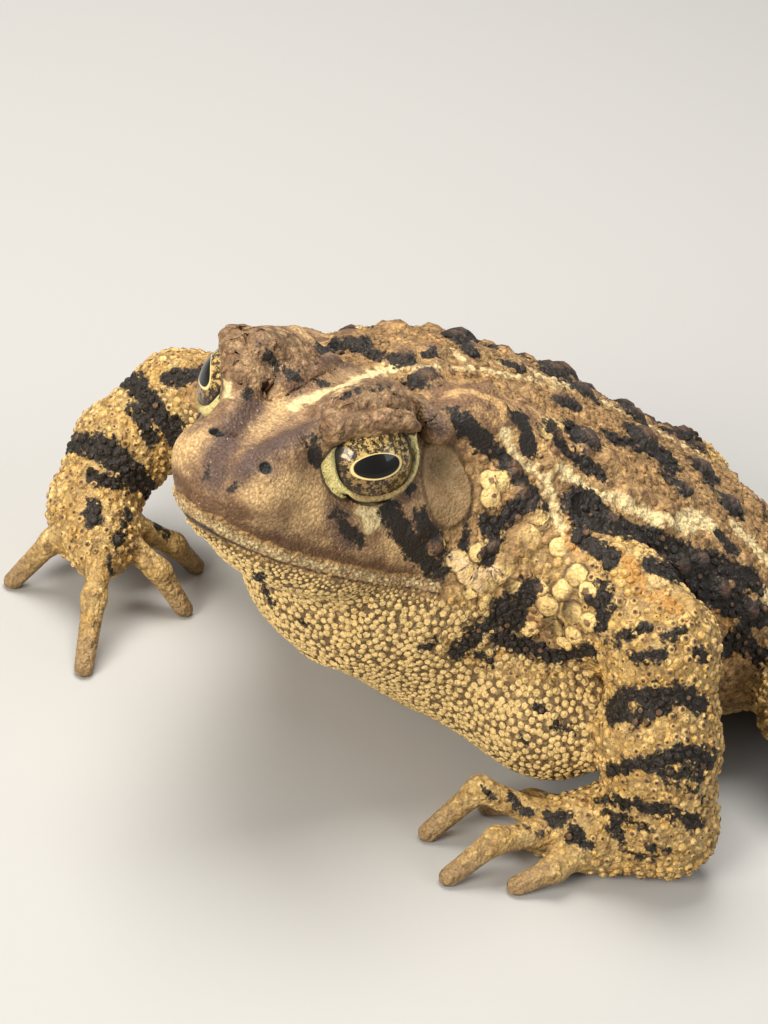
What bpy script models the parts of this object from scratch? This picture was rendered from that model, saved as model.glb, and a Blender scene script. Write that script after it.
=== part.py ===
"""A life-size American toad, sitting, as a museum shows it.

The toad faces -Y, its left side is +X and up is +Z, and it rests on the plane z = 0.
Sizes are in millimetres until the finished meshes are scaled to metres.

The animal is first one closed surface. Egg-shaped and tapered volumes are fused by a voxel
remesh, and every vertex is then drawn onto the smooth blend of those volumes. Warts are
raised in that surface, and thin cuts part it into head, trunk, limbs, digits and glands.
"""

import math
import random

import bmesh
import bpy
import numpy as np
from mathutils import Matrix, Vector

MM = 0.001

# Driving sizes
EYE_RADIUS = 5.2
# The opening between the lids, from the eye's middle: to the front and rear corners, to the
# upper lid and to the lower one
LID_FRONT, LID_REAR, LID_ABOVE, LID_BELOW = 4.4, 5.25, 3.5, 4.15
LID_THICK = 0.48
# 2 would make the opening an oval; more squares its corners
SQUARE_ABOVE, SQUARE_BELOW = 3.6, 2.1
CUT_GAP = 0.3
# A piece smaller than this that a cut leaves between two parts is dropped
CRUMB = 2.0
FINGER_RADIUS = 1.35
TOE_RADIUS = 1.2
TIP_HEIGHT = 0.7
VOXEL = 0.75
TRIANGLES_WANTED = 8150

# The head has a frame of its own: its origin is midway between the eyeballs, x points to
# its left, y to its back and z up. It is lifted by HEAD_PITCH and turned left by HEAD_YAW.
HEAD_CENTRE = np.array([0.5, -27.5, 40.9])
HEAD_PITCH = math.radians(15)
HEAD_YAW = math.radians(20)
RIGHT_LIFT = 0.14
EYE_SEAT = np.array([7.6, 0.0, 0.0])
EYE_AXIS = np.array([0.72, -0.64, 0.26])
EYE_TILT = math.radians(18)

# The left half of the mouth line in the head's frame, from the snout to the corner
MOUTH = [
    (0.0, -15.4, -8.2),
    (2.7, -14.3, -8.9),
    (5.2, -11.8, -9.9),
    (7.6, -8.8, -10.7),
    (10.5, -2.8, -11.8),
    (13.0, 2.9, -12.8),
    (14.8, 7.8, -12.9),
]

# Trunk stations from the neck to the vent: y, then the middle in x, the half width, and the
# heights of the widest line, the back and the belly
TRUNK = [
    (-22.0, -3.0, 13.0, 27.0, 42.0, 14.0),
    (-14.0, -3.5, 20.0, 22.0, 43.5, 4.5),
    (-5.0, -3.5, 24.5, 19.0, 42.5, 0.2),
    (5.0, -3.0, 26.5, 17.0, 38.8, -0.8),
    (15.0, -1.5, 28.5, 15.0, 34.0, -0.8),
    (25.0, 0.5, 27.5, 12.5, 28.0, -0.8),
    (35.0, 3.0, 22.5, 10.5, 21.8, -0.6),
    (43.0, 5.5, 14.0, 8.5, 15.0, 0.4),
    (48.0, 7.0, 4.0, 7.0, 9.5, 4.0),
]


# 2 would make the belly an oval across; more makes it flatter underneath
BELLY_POWER = 2.6


def along(stations, place):
    """Values between the stations, as smooth curves over their first column."""
    table = np.array(stations, float)
    keys, values = table[:, 0], table[:, 1:]
    place = np.clip(place, keys[0], keys[-1])
    k = np.clip(np.searchsorted(keys, place) - 1, 0, len(keys) - 2)
    slope = np.gradient(values, keys, axis=0)
    width = (keys[k + 1] - keys[k])[:, None]
    t = (place - keys[k])[:, None] / width
    return (
        values[k] * (2 * t**3 - 3 * t**2 + 1)
        + slope[k] * width * (t**3 - 2 * t**2 + t)
        + values[k + 1] * (3 * t**2 - 2 * t**3)
        + slope[k + 1] * width * (t**3 - t**2)
    )


def head_axes():
    """The head's left, back and up axes, as the columns of a matrix."""
    c, s = math.cos(HEAD_PITCH), math.sin(HEAD_PITCH)
    lift = np.array([[1, 0, 0], [0, c, s], [0, -s, c]])
    c, s = math.cos(HEAD_YAW), math.sin(HEAD_YAW)
    turn = np.array([[c, -s, 0], [s, c, 0], [0, 0, 1]])
    return turn @ lift


HEAD_AXES = head_axes()


def right_lift(x):
    """How much the head's right half sits higher, as the neck's turn tips it."""
    return RIGHT_LIFT * np.clip(-x, 0, 8)


def in_head(x, y, z):
    """A point given in the head's frame, in the toad's frame."""
    return HEAD_CENTRE + HEAD_AXES @ np.array([x, y, z + right_lift(x)], float)


class Egg:
    """An ellipsoid: centre, half sizes along its own axes, and those axes as columns."""

    def __init__(self, centre, radii, axes=None):
        self.centre = np.asarray(centre, float)
        self.radii = np.asarray(radii, float)
        self.axes = np.eye(3) if axes is None else np.asarray(axes, float)
        reach = np.sqrt(((self.axes * self.radii) ** 2).sum(1))
        self.low, self.high = self.centre - reach, self.centre + reach

    def distance(self, points):
        q = (points - self.centre) @ self.axes
        scaled = np.linalg.norm(q / self.radii, axis=1)
        slope = np.linalg.norm(q / self.radii**2, axis=1)
        return scaled * (scaled - 1) / np.maximum(slope, 1e-9)

    def add_to(self, bm, detail=3):
        turn = Matrix(self.axes.tolist()).to_4x4()
        size = Matrix.Diagonal((*self.radii, 1.0))
        place = Matrix.Translation(Vector(self.centre)) @ turn @ size
        bmesh.ops.create_icosphere(bm, subdivisions=detail, radius=1.0, matrix=place)


class Rod:
    """A round rod from a to b whose radius goes from ra to rb, with round ends."""

    def __init__(self, a, b, ra, rb):
        self.a, self.b = np.asarray(a, float), np.asarray(b, float)
        self.ra, self.rb = ra, rb
        self.low = np.minimum(self.a - ra, self.b - rb)
        self.high = np.maximum(self.a + ra, self.b + rb)

    def distance(self, points):
        along = self.b - self.a
        share = np.clip((points - self.a) @ along / (along @ along), 0, 1)
        nearest = self.a + share[:, None] * along
        return np.linalg.norm(points - nearest, axis=1) - (
            self.ra + share * (self.rb - self.ra)
        )

    def add_to(self, bm):
        for centre, radius in ((self.a, self.ra), (self.b, self.rb)):
            place = Matrix.Translation(Vector(centre))
            bmesh.ops.create_icosphere(bm, subdivisions=2, radius=radius, matrix=place)
        along = Vector(self.b - self.a)
        turn = along.to_track_quat("Z", "Y").to_matrix().to_4x4()
        bmesh.ops.create_cone(
            bm,
            cap_ends=True,
            segments=16,
            radius1=self.ra,
            radius2=self.rb,
            depth=along.length,
            matrix=Matrix.Translation(Vector((self.a + self.b) / 2)) @ turn,
        )


class Trunk:
    """A body of oval sections across y. Each section is taller above its widest line than
    below it, as the stations say."""

    def __init__(self, stations):
        self.stations = stations
        table = np.array(stations, float)
        self.first, self.last = table[0, 0], table[-1, 0]
        half = table[:, 2]
        left, right = table[:, 1] - half, table[:, 1] + half
        self.low = np.array([left.min(), self.first, table[:, 5].min()])
        self.high = np.array([right.max(), self.last, table[:, 4].max()])

    def distance(self, points):
        middle, half, widest, top, bottom = along(self.stations, points[:, 1]).T
        across = np.abs(points[:, 0] - middle) / half
        above = points[:, 2] > widest
        tall = np.where(above, top - widest, widest - bottom)
        up = np.abs(points[:, 2] - widest) / tall
        power = np.where(above, 2.0, BELLY_POWER)
        scaled = np.maximum((across**power + up**power) ** (1 / power), 1e-6)
        rise = scaled ** (1 - power)
        slope = rise * np.hypot(across ** (power - 1) / half, up ** (power - 1) / tall)
        off = (scaled - 1) / np.maximum(slope, 1e-6)
        beyond = points[:, 1] - np.clip(points[:, 1], self.first, self.last)
        return np.where(beyond == 0, off, np.hypot(np.maximum(off, 0), beyond))

    def add_to(self, bm, rings=40, around=36):
        loops = []
        for y in np.linspace(self.first, self.last, rings):
            middle, half, widest, top, bottom = along(self.stations, np.array([y]))[0]
            loop = []
            for turn in np.arange(around) * 2 * math.pi / around:
                up = math.sin(turn)
                z = widest + up * (top - widest if up > 0 else widest - bottom)
                loop.append(bm.verts.new((middle + half * math.cos(turn), y, z)))
            loops.append(loop)
        for here, there in zip(loops, loops[1:]):
            for k in range(around):
                m = (k + 1) % around
                bm.faces.new((here[k], there[k], there[m], here[m]))
        bm.faces.new(loops[0])
        bm.faces.new(loops[-1][::-1])


def rods(*stations):
    """Rods end to end through (point, radius) stations."""
    return [
        Rod(a, b, ra, rb) for (a, ra), (b, rb) in zip(stations, stations[1:])
    ]


def smooth_min(a, b, blend):
    """The union of two distances, with a fillet about as wide as blend."""
    if blend <= 0:
        return np.minimum(a, b)
    h = np.maximum(blend - np.abs(a - b), 0) / blend
    return np.minimum(a, b) - h * h * blend / 4


class Group:
    """Volumes blended together by inner, and then to the rest of the toad by outer."""

    def __init__(self, name, forms, inner, outer):
        self.name, self.forms, self.inner, self.outer = name, forms, inner, outer
        self.low = np.min([f.low for f in forms], 0)
        self.high = np.max([f.high for f in forms], 0)

    def join(self, points, total):
        """total, with this group blended in where points come near it."""
        reach = self.outer + self.inner + 1.5
        near = np.all((points > self.low - reach) & (points < self.high + reach), 1)
        if not near.any():
            return total
        here = points[near]
        own = self.forms[0].distance(here)
        for form in self.forms[1:]:
            own = smooth_min(own, form.distance(here), self.inner)
        total[near] = smooth_min(total[near], own, self.outer)
        return total


def turned(pitch=0.0, yaw=0.0):
    """The head's axes, nosed down by pitch and turned to its left by yaw, in degrees."""
    c, s = math.cos(math.radians(pitch)), math.sin(math.radians(pitch))
    nod = np.array([[1, 0, 0], [0, c, -s], [0, s, c]])
    c, s = math.cos(math.radians(yaw)), math.sin(math.radians(yaw))
    turn = np.array([[c, -s, 0], [s, c, 0], [0, 0, 1]])
    return HEAD_AXES @ turn @ nod


def head_forms():
    forms = [
        Egg(in_head(0, 5.0, -1.6), (11.0, 13.0, 5.4), turned()),
        Egg(in_head(0.5, 4.5, 0.6), (4.4, 8.5, 3.9), turned()),
        Egg(in_head(0, -6.2, -3.7), (6.4, 9.8, 5.0), turned(20)),
        Egg(in_head(0, 6.0, -7.5), (12.6, 12.0, 6.5), turned()),
    ]
    for s in (1, -1):
        forms += [
            Egg(in_head(s * 8.4, 5.0, -6.4), (5.6, 11.5, 5.6), turned(0, s * -22)),
            Egg(in_head(s * 4.3, -6.2, -6.2), (4.2, 9.4, 4.2), turned(0, s * -30)),
            Egg(in_head(s * 3.2, -11.4, -3.4), (3.5, 3.7, 3.2), turned()),
            lid_pad(s),
        ]
    return forms


def lid_pad(s):
    """The thick upper lid over the eyeball."""
    return Egg(in_head(s * 6.7, 1.1, 2.5), (4.7, 6.2, 4.7), turned())


def throat_forms():
    return [
        Egg(in_head(1.5, -0.5, -10.4), (7.0, 9.0, 3.0), turned(8)),
        Egg(in_head(1.5, 4.5, -12.2), (10.8, 10.8, 5.4), turned()),
        Egg(in_head(4.0, 14.5, -17.5), (14.0, 10.5, 10.5), turned()),
        Egg((19.2, -4.0, 11.4), (10.6, 8.2, 8.1)),
    ]


def mouth_line(down, out):
    """Points along the mouth from its right corner to its left, moved down and out."""
    half = [(x + out * min(1, x / 3), y - out * max(0, 1 - x / 9), z - down)
            for x, y, z in MOUTH]
    return [(-x, y, z) for x, y, z in half[:0:-1]] + half


def lip(down, out, radius):
    return rods(*[(in_head(*p), radius) for p in mouth_line(down, out)])


def canthus(s):
    """The blunt ridge from the eye to the nostril."""
    return rods(
        (in_head(s * 5.4, -4.0, 2.2), 1.4),
        (in_head(s * 3.9, -8.2, 0.4), 1.3),
        (in_head(s * 2.4, -12.0, -2.0), 1.4),
    )


def crests(s):
    """The bony ridge inside the upper lid, and the one behind the eye."""
    low = 0.0 if s > 0 else 0.9
    return rods(
        (in_head(0.5 + s * 3.0, -3.4, 4.1 - low), 0.7),
        (in_head(0.5 + s * 3.2, -0.5, 5.1 - low), 1.0),
        (in_head(0.5 + s * 3.4, 4.0, 5.4 - low), 1.1),
        (in_head(0.4 + s * 3.9, 8.4, 5.0 - low), 1.1),
    ) + rods(
        (in_head(0.4 + s * 3.9, 8.4, 5.0 - low), 1.1),
        (in_head(s * 8.2, 7.6, 4.9), 1.1),
        (in_head(s * 11.2, 8.2, 3.4), 1.3),
    )


def eye_centre(s):
    return in_head(s * EYE_SEAT[0], EYE_SEAT[1], EYE_SEAT[2])


def eye_frame(s):
    """Columns: towards the rear corner of the eye, towards its upper lid, and outwards."""
    out = HEAD_AXES @ (EYE_AXIS * np.array([s, 1, 1]))
    out /= np.linalg.norm(out)
    up = HEAD_AXES @ np.array([0, 0, 1.0])
    up -= out * (up @ out)
    up /= np.linalg.norm(up)
    rear = np.cross(up, out) * s
    c, t = math.cos(EYE_TILT), math.sin(EYE_TILT)
    return np.column_stack([rear * c + up * t, up * c - rear * t, out])


def by_eye(s, rear, up, out):
    """A point in the eye's frame, in the toad's frame."""
    return eye_centre(s) + eye_frame(s) @ np.array([rear, up, out], float)


def brow(s):
    """The rolled edge of the upper lid, which hoods the eye."""
    low = 0.0 if s > 0 else 0.9
    return rods(
        (by_eye(s, -5.3, 1.9, 2.2), 0.8),
        (by_eye(s, -3.7, 3.8, 3.6), 1.15),
        (by_eye(s, -1.2, 4.3, 4.3), 1.05),
        (by_eye(s, 1.4, 4.25 - low, 4.4), 1.1),
        (by_eye(s, 3.6, 3.7 - low * 1.3, 3.9), 1.0),
        (by_eye(s, 5.1, 2.8, 2.8), 0.6),
    )


def lid_rim(s, steps=18):
    """The thin rim of skin round the eyeball, flatter above than below."""
    stations = []
    for k in range(steps + 1):
        turn = 2 * math.pi * k / steps
        c, t = math.cos(turn), math.sin(turn)
        power = 2 / (SQUARE_ABOVE if t > 0 else SQUARE_BELOW)
        rear = math.copysign(abs(c) ** power, c) * (LID_REAR if c > 0 else LID_FRONT)
        up = math.copysign(abs(t) ** power, t) * (LID_ABOVE if t > 0 else LID_BELOW)
        ball = EYE_RADIUS + 0.1 + 0.3 * max(c, 0)
        out = math.sqrt(max(ball**2 - rear**2 - up**2, 1.0))
        stations.append((by_eye(s, rear, up, out), LID_THICK + 0.28 * max(-c, 0) ** 2))
    return rods(*stations)


class Socket:
    """The opening between the lids: a rounded box across the eye, open outwards."""

    def __init__(self, s):
        self.centre, self.axes = eye_centre(s), eye_frame(s)

    def distance(self, points):
        rear, up, out = ((points - self.centre) @ self.axes).T
        wide = np.where(rear > 0, LID_REAR, LID_FRONT) + 0.1
        tall = np.where(up > 0, LID_ABOVE, LID_BELOW) + 0.1
        power = np.where(up > 0, SQUARE_ABOVE, SQUARE_BELOW)
        across = ((np.abs(rear) / wide) ** power + (np.abs(up) / tall) ** power) ** (1 / power)
        return np.maximum((across - 1) * 3.6, 0.6 - out)


def nostril(s):
    """The hole at the side of the snout, from outside the skin to inside it."""
    start = np.array([1.3 + s * 3.8, -13.6 - s * 0.6, 0.1 + s * 0.2])
    end = start + np.array([-s * 2.3, 3.4, -3.1])
    return Rod(in_head(*start), in_head(*end), 0.55 + s * 0.1, 0.4)


# Limb joints: (place, radius) from the trunk to the wrist or ankle
ARMS = {
    "left": [
        ((12, -3, 26), 7.0),
        ((24, 0, 26), 6.0),
        ((31.2, 0.6, 25), 5.4),
        ((35.2, -0.7, 16), 5.8),
        ((37.0, -0.1, 8), 5.9),
    ],
    "right": [
        ((-18, -6, 26), 7.0),
        ((-37.4, -16.4, 19.6), 5.6),
        ((-38.0, -23.4, 14.4), 5.4),
        ((-35.6, -29.2, 9.2), 4.6),
    ],
}
PALMS = {
    "left": [((38.0, 0.8, 5.1), 5.2), ((33.5, -6.2, 3.9), 4.1), ((30.8, -9.6, 3.5), 3.1)],
    "right": [((-34.6, -28.2, 9.0), 4.6), ((-31.6, -29.8, 8.0), 4.3), ((-29, -31, 7.4), 3.4)],
}
FINGERS = {
    "left": [
        [(30.4, -4.6, 3.6), (25.6, -7.6, 2.4), (22.4, -11.0, TIP_HEIGHT)],
        [(30.4, -9.6, 4.5), (24.6, -15.0, 6.2), (23.2, -19.8, TIP_HEIGHT)],
        [(32, -11.0, 4.4), (30.8, -17, 4.6), (30.0, -22.0, TIP_HEIGHT)],
        [(35.2, -8.5, 3.2), (35.4, -12.4, 2.4), (34.4, -16.2, TIP_HEIGHT)],
    ],
    "right": [
        [(-31.0, -24.5, 7.4), (-29.9, -20.0, 4.6), (-29.6, -16.6, TIP_HEIGHT)],
        [(-28.5, -27.5, 7.6), (-25.2, -25.0, 5.2), (-22.6, -22.6, TIP_HEIGHT)],
        [(-28.5, -31, 7.6), (-23.2, -35, 5.4), (-17.4, -39.2, TIP_HEIGHT)],
        [(-32.0, -30.5, 8.4), (-34.0, -34.5, 6.4), (-35.6, -38.4, TIP_HEIGHT)],
    ],
}
LEGS = {
    "left": [((15, 39, 10.5), 8.5), ((34, 24.5, 11.5), 6.0), ((26.5, 47, 5.8), 4.0)],
    "right": [((-7, 38, 10.5), 8.5), ((-30.5, 23, 11.2), 6.0), ((-21.5, 44.5, 5.8), 4.0)],
}
FEET = {
    "left": [((27, 47.5, 4.0), 3.5), ((35, 42.2, 3.2), 3.6), ((39.5, 39.2, 2.6), 3.0)],
    "right": [((-22, 45, 4.0), 3.5), ((-30, 40, 3.2), 3.6), ((-34.5, 37.0, 2.6), 3.0)],
}
# Toes from the inner to the outer: turn towards the body in degrees, and length
TOES = [(64, 8.5), (36, 11.0), (13, 14.5), (-8, 19.0), (-32, 13.5)]
TOE_SPACING = 2.4


def toe_points(side, number):
    """Root, knuckle and tip of a toe, which fans out from the front of its foot."""
    s = 1 if side == "left" else -1
    turn, length = TOES[number]
    ball = np.array(FEET[side][2][0], float)
    line = ball - np.array(FEET[side][1][0], float)
    heading = math.atan2(line[1], line[0])
    aim = heading - s * math.radians(turn)
    way = np.array([math.cos(aim), math.sin(aim), 0.0])
    inward = np.array([math.sin(heading), -math.cos(heading), 0.0]) * s
    root = ball + inward * TOE_SPACING * (2 - number) + way * 0.5
    points = [root, root + way * (1.5 + length / 2), root + way * (1.5 + length)]
    for point, height in zip(points, (2.2, 1.1, TIP_HEIGHT)):
        point[2] = height
    return points


def limb(stations):
    return rods(*[(np.array(p, float), r) for p, r in stations])


def digit(points, radius):
    a, b, c = (np.array(p, float) for p in points)
    return rods((a, radius * 1.12), (b, radius), (c, radius * 0.82))


def parotoid(s):
    """The poison gland behind the eye, long and kidney-shaped. The neck's turn to the left
    stretches the right one flatter."""
    low = 0.0 if s > 0 else 3.5
    return [
        Egg(in_head(s * 10.4, 14.2, 3.4 - low), (3.9, 4.6, 3.4), turned(0, s * -15)),
        Egg(in_head(s * 13.0, 19.4, 2.2 - low), (4.1, 5.4, 3.6), turned(-8, s * -22)),
        Egg(in_head(s * 15.4, 24.0, 0.2 - low), (3.6, 4.4, 3.2), turned(-12, s * -25)),
    ]


def onto_skin(start, towards, skin):
    """Where a line from start towards a point first meets the skin, and the way it came."""
    start, towards = np.asarray(start, float), np.asarray(towards, float)
    way = (towards - start) / np.linalg.norm(towards - start)
    spot = start.copy()
    for _ in range(90):
        spot = spot + way * 0.7 * float(skin(spot[None])[0])
    return spot, way


# Warts that mark this animal's nape, shoulder and jaw, on its left unless x is negative:
# x, y, z in the head's frame, and radius
KNOWN_WARTS = [
    (-3.4, 14.7, 6.0, 2.2),
    (1.1, 15.1, 6.7, 1.6),
    (2.7, 18.6, 7.2, 1.8),
    (5.6, 13.1, 5.7, 1.9),
    (4.8, 16.4, 6.7, 1.5),
    (21.7, 14.3, -5.5, 1.9),
    (17.3, 15.3, 0.6, 1.5),
    (19.0, 15.2, -1.2, 1.5),
    (20.9, 16.0, -2.4, 1.7),
    (19.3, 20.2, 1.3, 1.6),
    (16.4, 22.4, 3.8, 1.4),
    (17.3, 12.2, -2.2, 1.4),
    (18.7, 10.4, -10.3, 1.3),
    (20.0, 11.5, -10.7, 1.6),
    (21.1, 12.7, -8.2, 1.4),
    (15.2, 6.5, -7.7, 1.2),
]
# Back warts: radius, how many of that size, and the least distance between any two
WART_SIZES = [(2.2, 14, 5.2), (1.8, 26, 4.2), (1.4, 40, 3.3)]


def back_warts(skin):
    """Warts scattered over the back and flanks, clear of the spine and of each other."""
    dice = random.Random(5)
    known = [(in_head(x, y, z), r) for x, y, z, r in KNOWN_WARTS]
    found = []
    for radius, count, apart in WART_SIZES:
        made = tries = 0
        while made < count and tries < 600:
            tries += 1
            y = dice.uniform(-9, 42)
            lean = math.radians(dice.uniform(8, 78)) * dice.choice((-1, 1))
            middle, half, widest, top, _ = along(TRUNK, np.array([y]))[0]
            inside = np.array([middle, y, widest])
            out = np.array([half * math.sin(lean), 0, (top - widest) * math.cos(lean)])
            spot = inside + out
            if any(np.linalg.norm(spot - c) < max(apart, r + radius) for c, r in found + known):
                continue
            found.append((onto_skin(inside + out * 1.6, inside, skin)[0], radius))
            made += 1
    return known + found


def wart_form(spot, radius, inward):
    """A low dome with its middle just under the skin."""
    return Egg(spot + inward * radius * 0.35, (radius, radius, radius))


def toad_groups():
    groups = [
        Group("trunk", [Trunk(TRUNK)], 0.0, 0.0),
        Group("throat", throat_forms(), 4.0, 6.0),
        Group("head", head_forms(), 2.5, 3.0),
        Group("upper_lip", lip(-1.1, -1.3, 1.1), 0.4, 1.2),
        Group("lower_lip", lip(0.9, -3.2, 0.85), 0.4, 0.8),
    ]
    for side, s in (("left", 1), ("right", -1)):
        groups += [
            Group("canthus_" + side, canthus(s), 1.0, 2.4),
            Group("crests_" + side, crests(s), 0.5, 1.4),
            Group("brow_" + side, brow(s), 0.6, 0.7),
            Group("parotoid_" + side, parotoid(s), 3.0, 2.2),
            Group("arm_" + side, limb(ARMS[side]), 2.5, 4.0),
            Group("palm_" + side, limb(PALMS[side]), 2.0, 2.0),
            Group("leg_" + side, limb(LEGS[side]), 1.0, 2.5),
            Group("foot_" + side, limb(FEET[side]), 2.0, 1.0),
        ]
        for number, points in enumerate(FINGERS[side], 1):
            name = f"finger_{number}_{side}"
            groups.append(Group(name, digit(points, FINGER_RADIUS), 1.0, 1.2))
        for number in range(len(TOES)):
            name = f"toe_{number + 1}_{side}"
            points = toe_points(side, number)
            groups.append(Group(name, digit(points, TOE_RADIUS), 1.0, 0.8))
    return groups


GROUPS = toad_groups()
WARTS = []
LID_RIMS = {s: Group("lid_rim", lid_rim(s), 0.0, 0.6) for s in (1, -1)}


def smooth_flesh(points):
    """Signed distance from the toad's skin without its warts."""
    total = np.full(len(points), 99.0)
    for group in GROUPS:
        total = group.join(points, total)
    for s in (1, -1):
        near = np.linalg.norm(points - eye_centre(s), axis=1) < EYE_RADIUS + 6
        if not near.any():
            continue
        here, kept = points[near], total[near]
        kept = -smooth_min(-kept, Socket(s).distance(here), 0.6)
        rim = LID_RIMS[s].forms[0].distance(here)
        for form in LID_RIMS[s].forms[1:]:
            rim = np.minimum(rim, form.distance(here))
        kept = smooth_min(kept, rim, 0.6)
        under = np.linalg.norm(here - eye_centre(s), axis=1) - EYE_RADIUS + 0.7
        total[near] = np.minimum(kept, under)
    for s in (1, -1):
        pit = nostril(s)
        near = np.linalg.norm(points - pit.b, axis=1) < 6
        if near.any():
            total[near] = -smooth_min(-total[near], pit.distance(points[near]), 0.4)
    return total


def flesh(points):
    """Signed distance from the toad's skin with its warts."""
    total = smooth_flesh(points)
    for wart in WARTS:
        total = wart.join(points, total)
    return total


def raise_warts():
    """Fills WARTS with domes that stand on the smooth skin."""
    for number, (spot, radius) in enumerate(back_warts(smooth_flesh)):
        inward = -slopes(spot[None], smooth_flesh)[1][0]
        dome = wart_form(spot, radius, inward)
        WARTS.append(Group(f"wart_{number}", [dome], 0.0, 0.9))


def slopes(points, skin=flesh, step=0.02):
    """How far the flesh is along its slope at each point, and the unit slope."""
    base = skin(points)
    grad = np.empty_like(points)
    for axis in range(3):
        moved = points.copy()
        moved[:, axis] += step
        grad[:, axis] = (skin(moved) - base) / step
    steep = np.maximum(np.linalg.norm(grad, axis=1), 0.35)
    return base / steep, grad / np.maximum(steep, 1e-9)[:, None]


def rough_union():
    """One closed mesh round every volume, made by a voxel remesh."""
    bm = bmesh.new()
    for group in GROUPS:
        for form in group.forms:
            form.add_to(bm)
    mesh = bpy.data.meshes.new("rough_toad")
    bm.to_mesh(mesh)
    bm.free()
    rough = bpy.data.objects.new("rough_toad", mesh)
    bpy.context.scene.collection.objects.link(rough)
    remesh = rough.modifiers.new("fuse", "REMESH")
    remesh.mode = "VOXEL"
    remesh.voxel_size = VOXEL
    graph = bpy.context.evaluated_depsgraph_get()
    fused = bpy.data.meshes.new_from_object(rough.evaluated_get(graph))
    bpy.data.objects.remove(rough)
    bpy.data.meshes.remove(mesh)
    return fused


def vertex_places(mesh):
    places = np.empty(len(mesh.vertices) * 3, np.float32)
    mesh.vertices.foreach_get("co", places)
    return places.reshape(-1, 3).astype(float)


def set_places(mesh, places):
    mesh.vertices.foreach_set("co", places.astype(np.float32).ravel())
    mesh.update()


def neighbours_mean(mesh, places):
    edges = np.empty(len(mesh.edges) * 2, np.int32)
    mesh.edges.foreach_get("vertices", edges)
    edges = edges.reshape(-1, 2)
    total = np.zeros_like(places)
    count = np.zeros(len(places))
    for a, b in ((0, 1), (1, 0)):
        np.add.at(total, edges[:, a], places[edges[:, b]])
        np.add.at(count, edges[:, a], 1)
    return total / np.maximum(count, 1)[:, None]


def draw_onto_flesh(mesh, rounds=4):
    """Slides the vertices evenly over the surface and pulls them onto the flesh."""
    places = vertex_places(mesh)
    for _ in range(rounds):
        mean = neighbours_mean(mesh, places)
        off, normal = slopes(places)
        slide = mean - places
        slide -= normal * (slide * normal).sum(1)[:, None]
        places = places + 0.5 * slide
        off, normal = slopes(places)
        places = places - normal * np.clip(off, -1.5, 1.5)[:, None]
    set_places(mesh, places)


def as_object(name, mesh):
    made = bpy.data.objects.new(name, mesh)
    bpy.context.scene.collection.objects.link(made)
    return made


def settle(thing):
    """Bakes the modifiers of an object into its mesh."""
    graph = bpy.context.evaluated_depsgraph_get()
    graph.update()
    mesh = bpy.data.meshes.new_from_object(thing.evaluated_get(graph))
    old = thing.data
    thing.modifiers.clear()
    thing.data = mesh
    bpy.data.meshes.remove(old)


def thin_out(thing, wanted):
    shrink = thing.modifiers.new("thin_out", "DECIMATE")
    thing.data.calc_loop_triangles()
    shrink.ratio = wanted / len(thing.data.loop_triangles)
    settle(thing)


def flatten_underside(thing):
    """Cuts the soles, finger tips and belly flat at z = 0 and closes them."""
    bm = bmesh.new()
    bm.from_mesh(thing.data)
    everything = bm.verts[:] + bm.edges[:] + bm.faces[:]
    cut = bmesh.ops.bisect_plane(
        bm,
        geom=everything,
        dist=1e-4,
        plane_co=(0, 0, 0),
        plane_no=(0, 0, -1),
        clear_outer=True,
    )
    rim = [e for e in cut["geom_cut"] if isinstance(e, bmesh.types.BMEdge)]
    bmesh.ops.holes_fill(bm, edges=rim, sides=0)
    bmesh.ops.triangulate(bm, faces=[f for f in bm.faces if len(f.verts) > 3])
    bm.to_mesh(thing.data)
    bm.free()


def hull_mesh(forms, detail=2):
    """A closed mesh stretched round all the forms, for cutting."""
    filled = bmesh.new()
    for form in forms:
        form.add_to(filled, detail)
    bm = bmesh.new()
    for vert in filled.verts:
        bm.verts.new(vert.co)
    filled.free()
    bmesh.ops.convex_hull(bm, input=bm.verts[:])
    spare = [v for v in bm.verts if not v.link_faces]
    bmesh.ops.delete(bm, geom=spare, context="VERTS")
    bmesh.ops.recalc_face_normals(bm, faces=bm.faces[:])
    mesh = bpy.data.meshes.new("hull")
    bm.to_mesh(mesh)
    bm.free()
    return mesh


def grown(forms, by):
    return [Egg(f.centre, f.radii + by, f.axes) for f in forms]


def balls(*places):
    return [Egg(centre, (radius,) * 3) for centre, radius in places]


def box(centre, axes, half):
    """A closed box: half sizes along the columns of axes."""
    bm = bmesh.new()
    turn = Matrix(np.asarray(axes).tolist()).to_4x4()
    size = Matrix.Diagonal((*[2 * h for h in half], 1.0))
    place = Matrix.Translation(Vector(centre)) @ turn @ size
    bmesh.ops.create_cube(bm, size=1.0, matrix=place)
    mesh = bpy.data.meshes.new("box")
    bm.to_mesh(mesh)
    bm.free()
    return mesh


def carve(thing, mesh, operation):
    """thing with the mesh taken away, or only what lies inside the mesh."""
    cutter = as_object("cutter", mesh)
    cutter.hide_render = True
    cutter.display_type = "WIRE"
    cut = thing.modifiers.new("cut", "BOOLEAN")
    cut.operation, cut.object, cut.solver = operation, cutter, "EXACT"
    settle(thing)
    bpy.data.objects.remove(cutter)
    bpy.data.meshes.remove(mesh)


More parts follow.
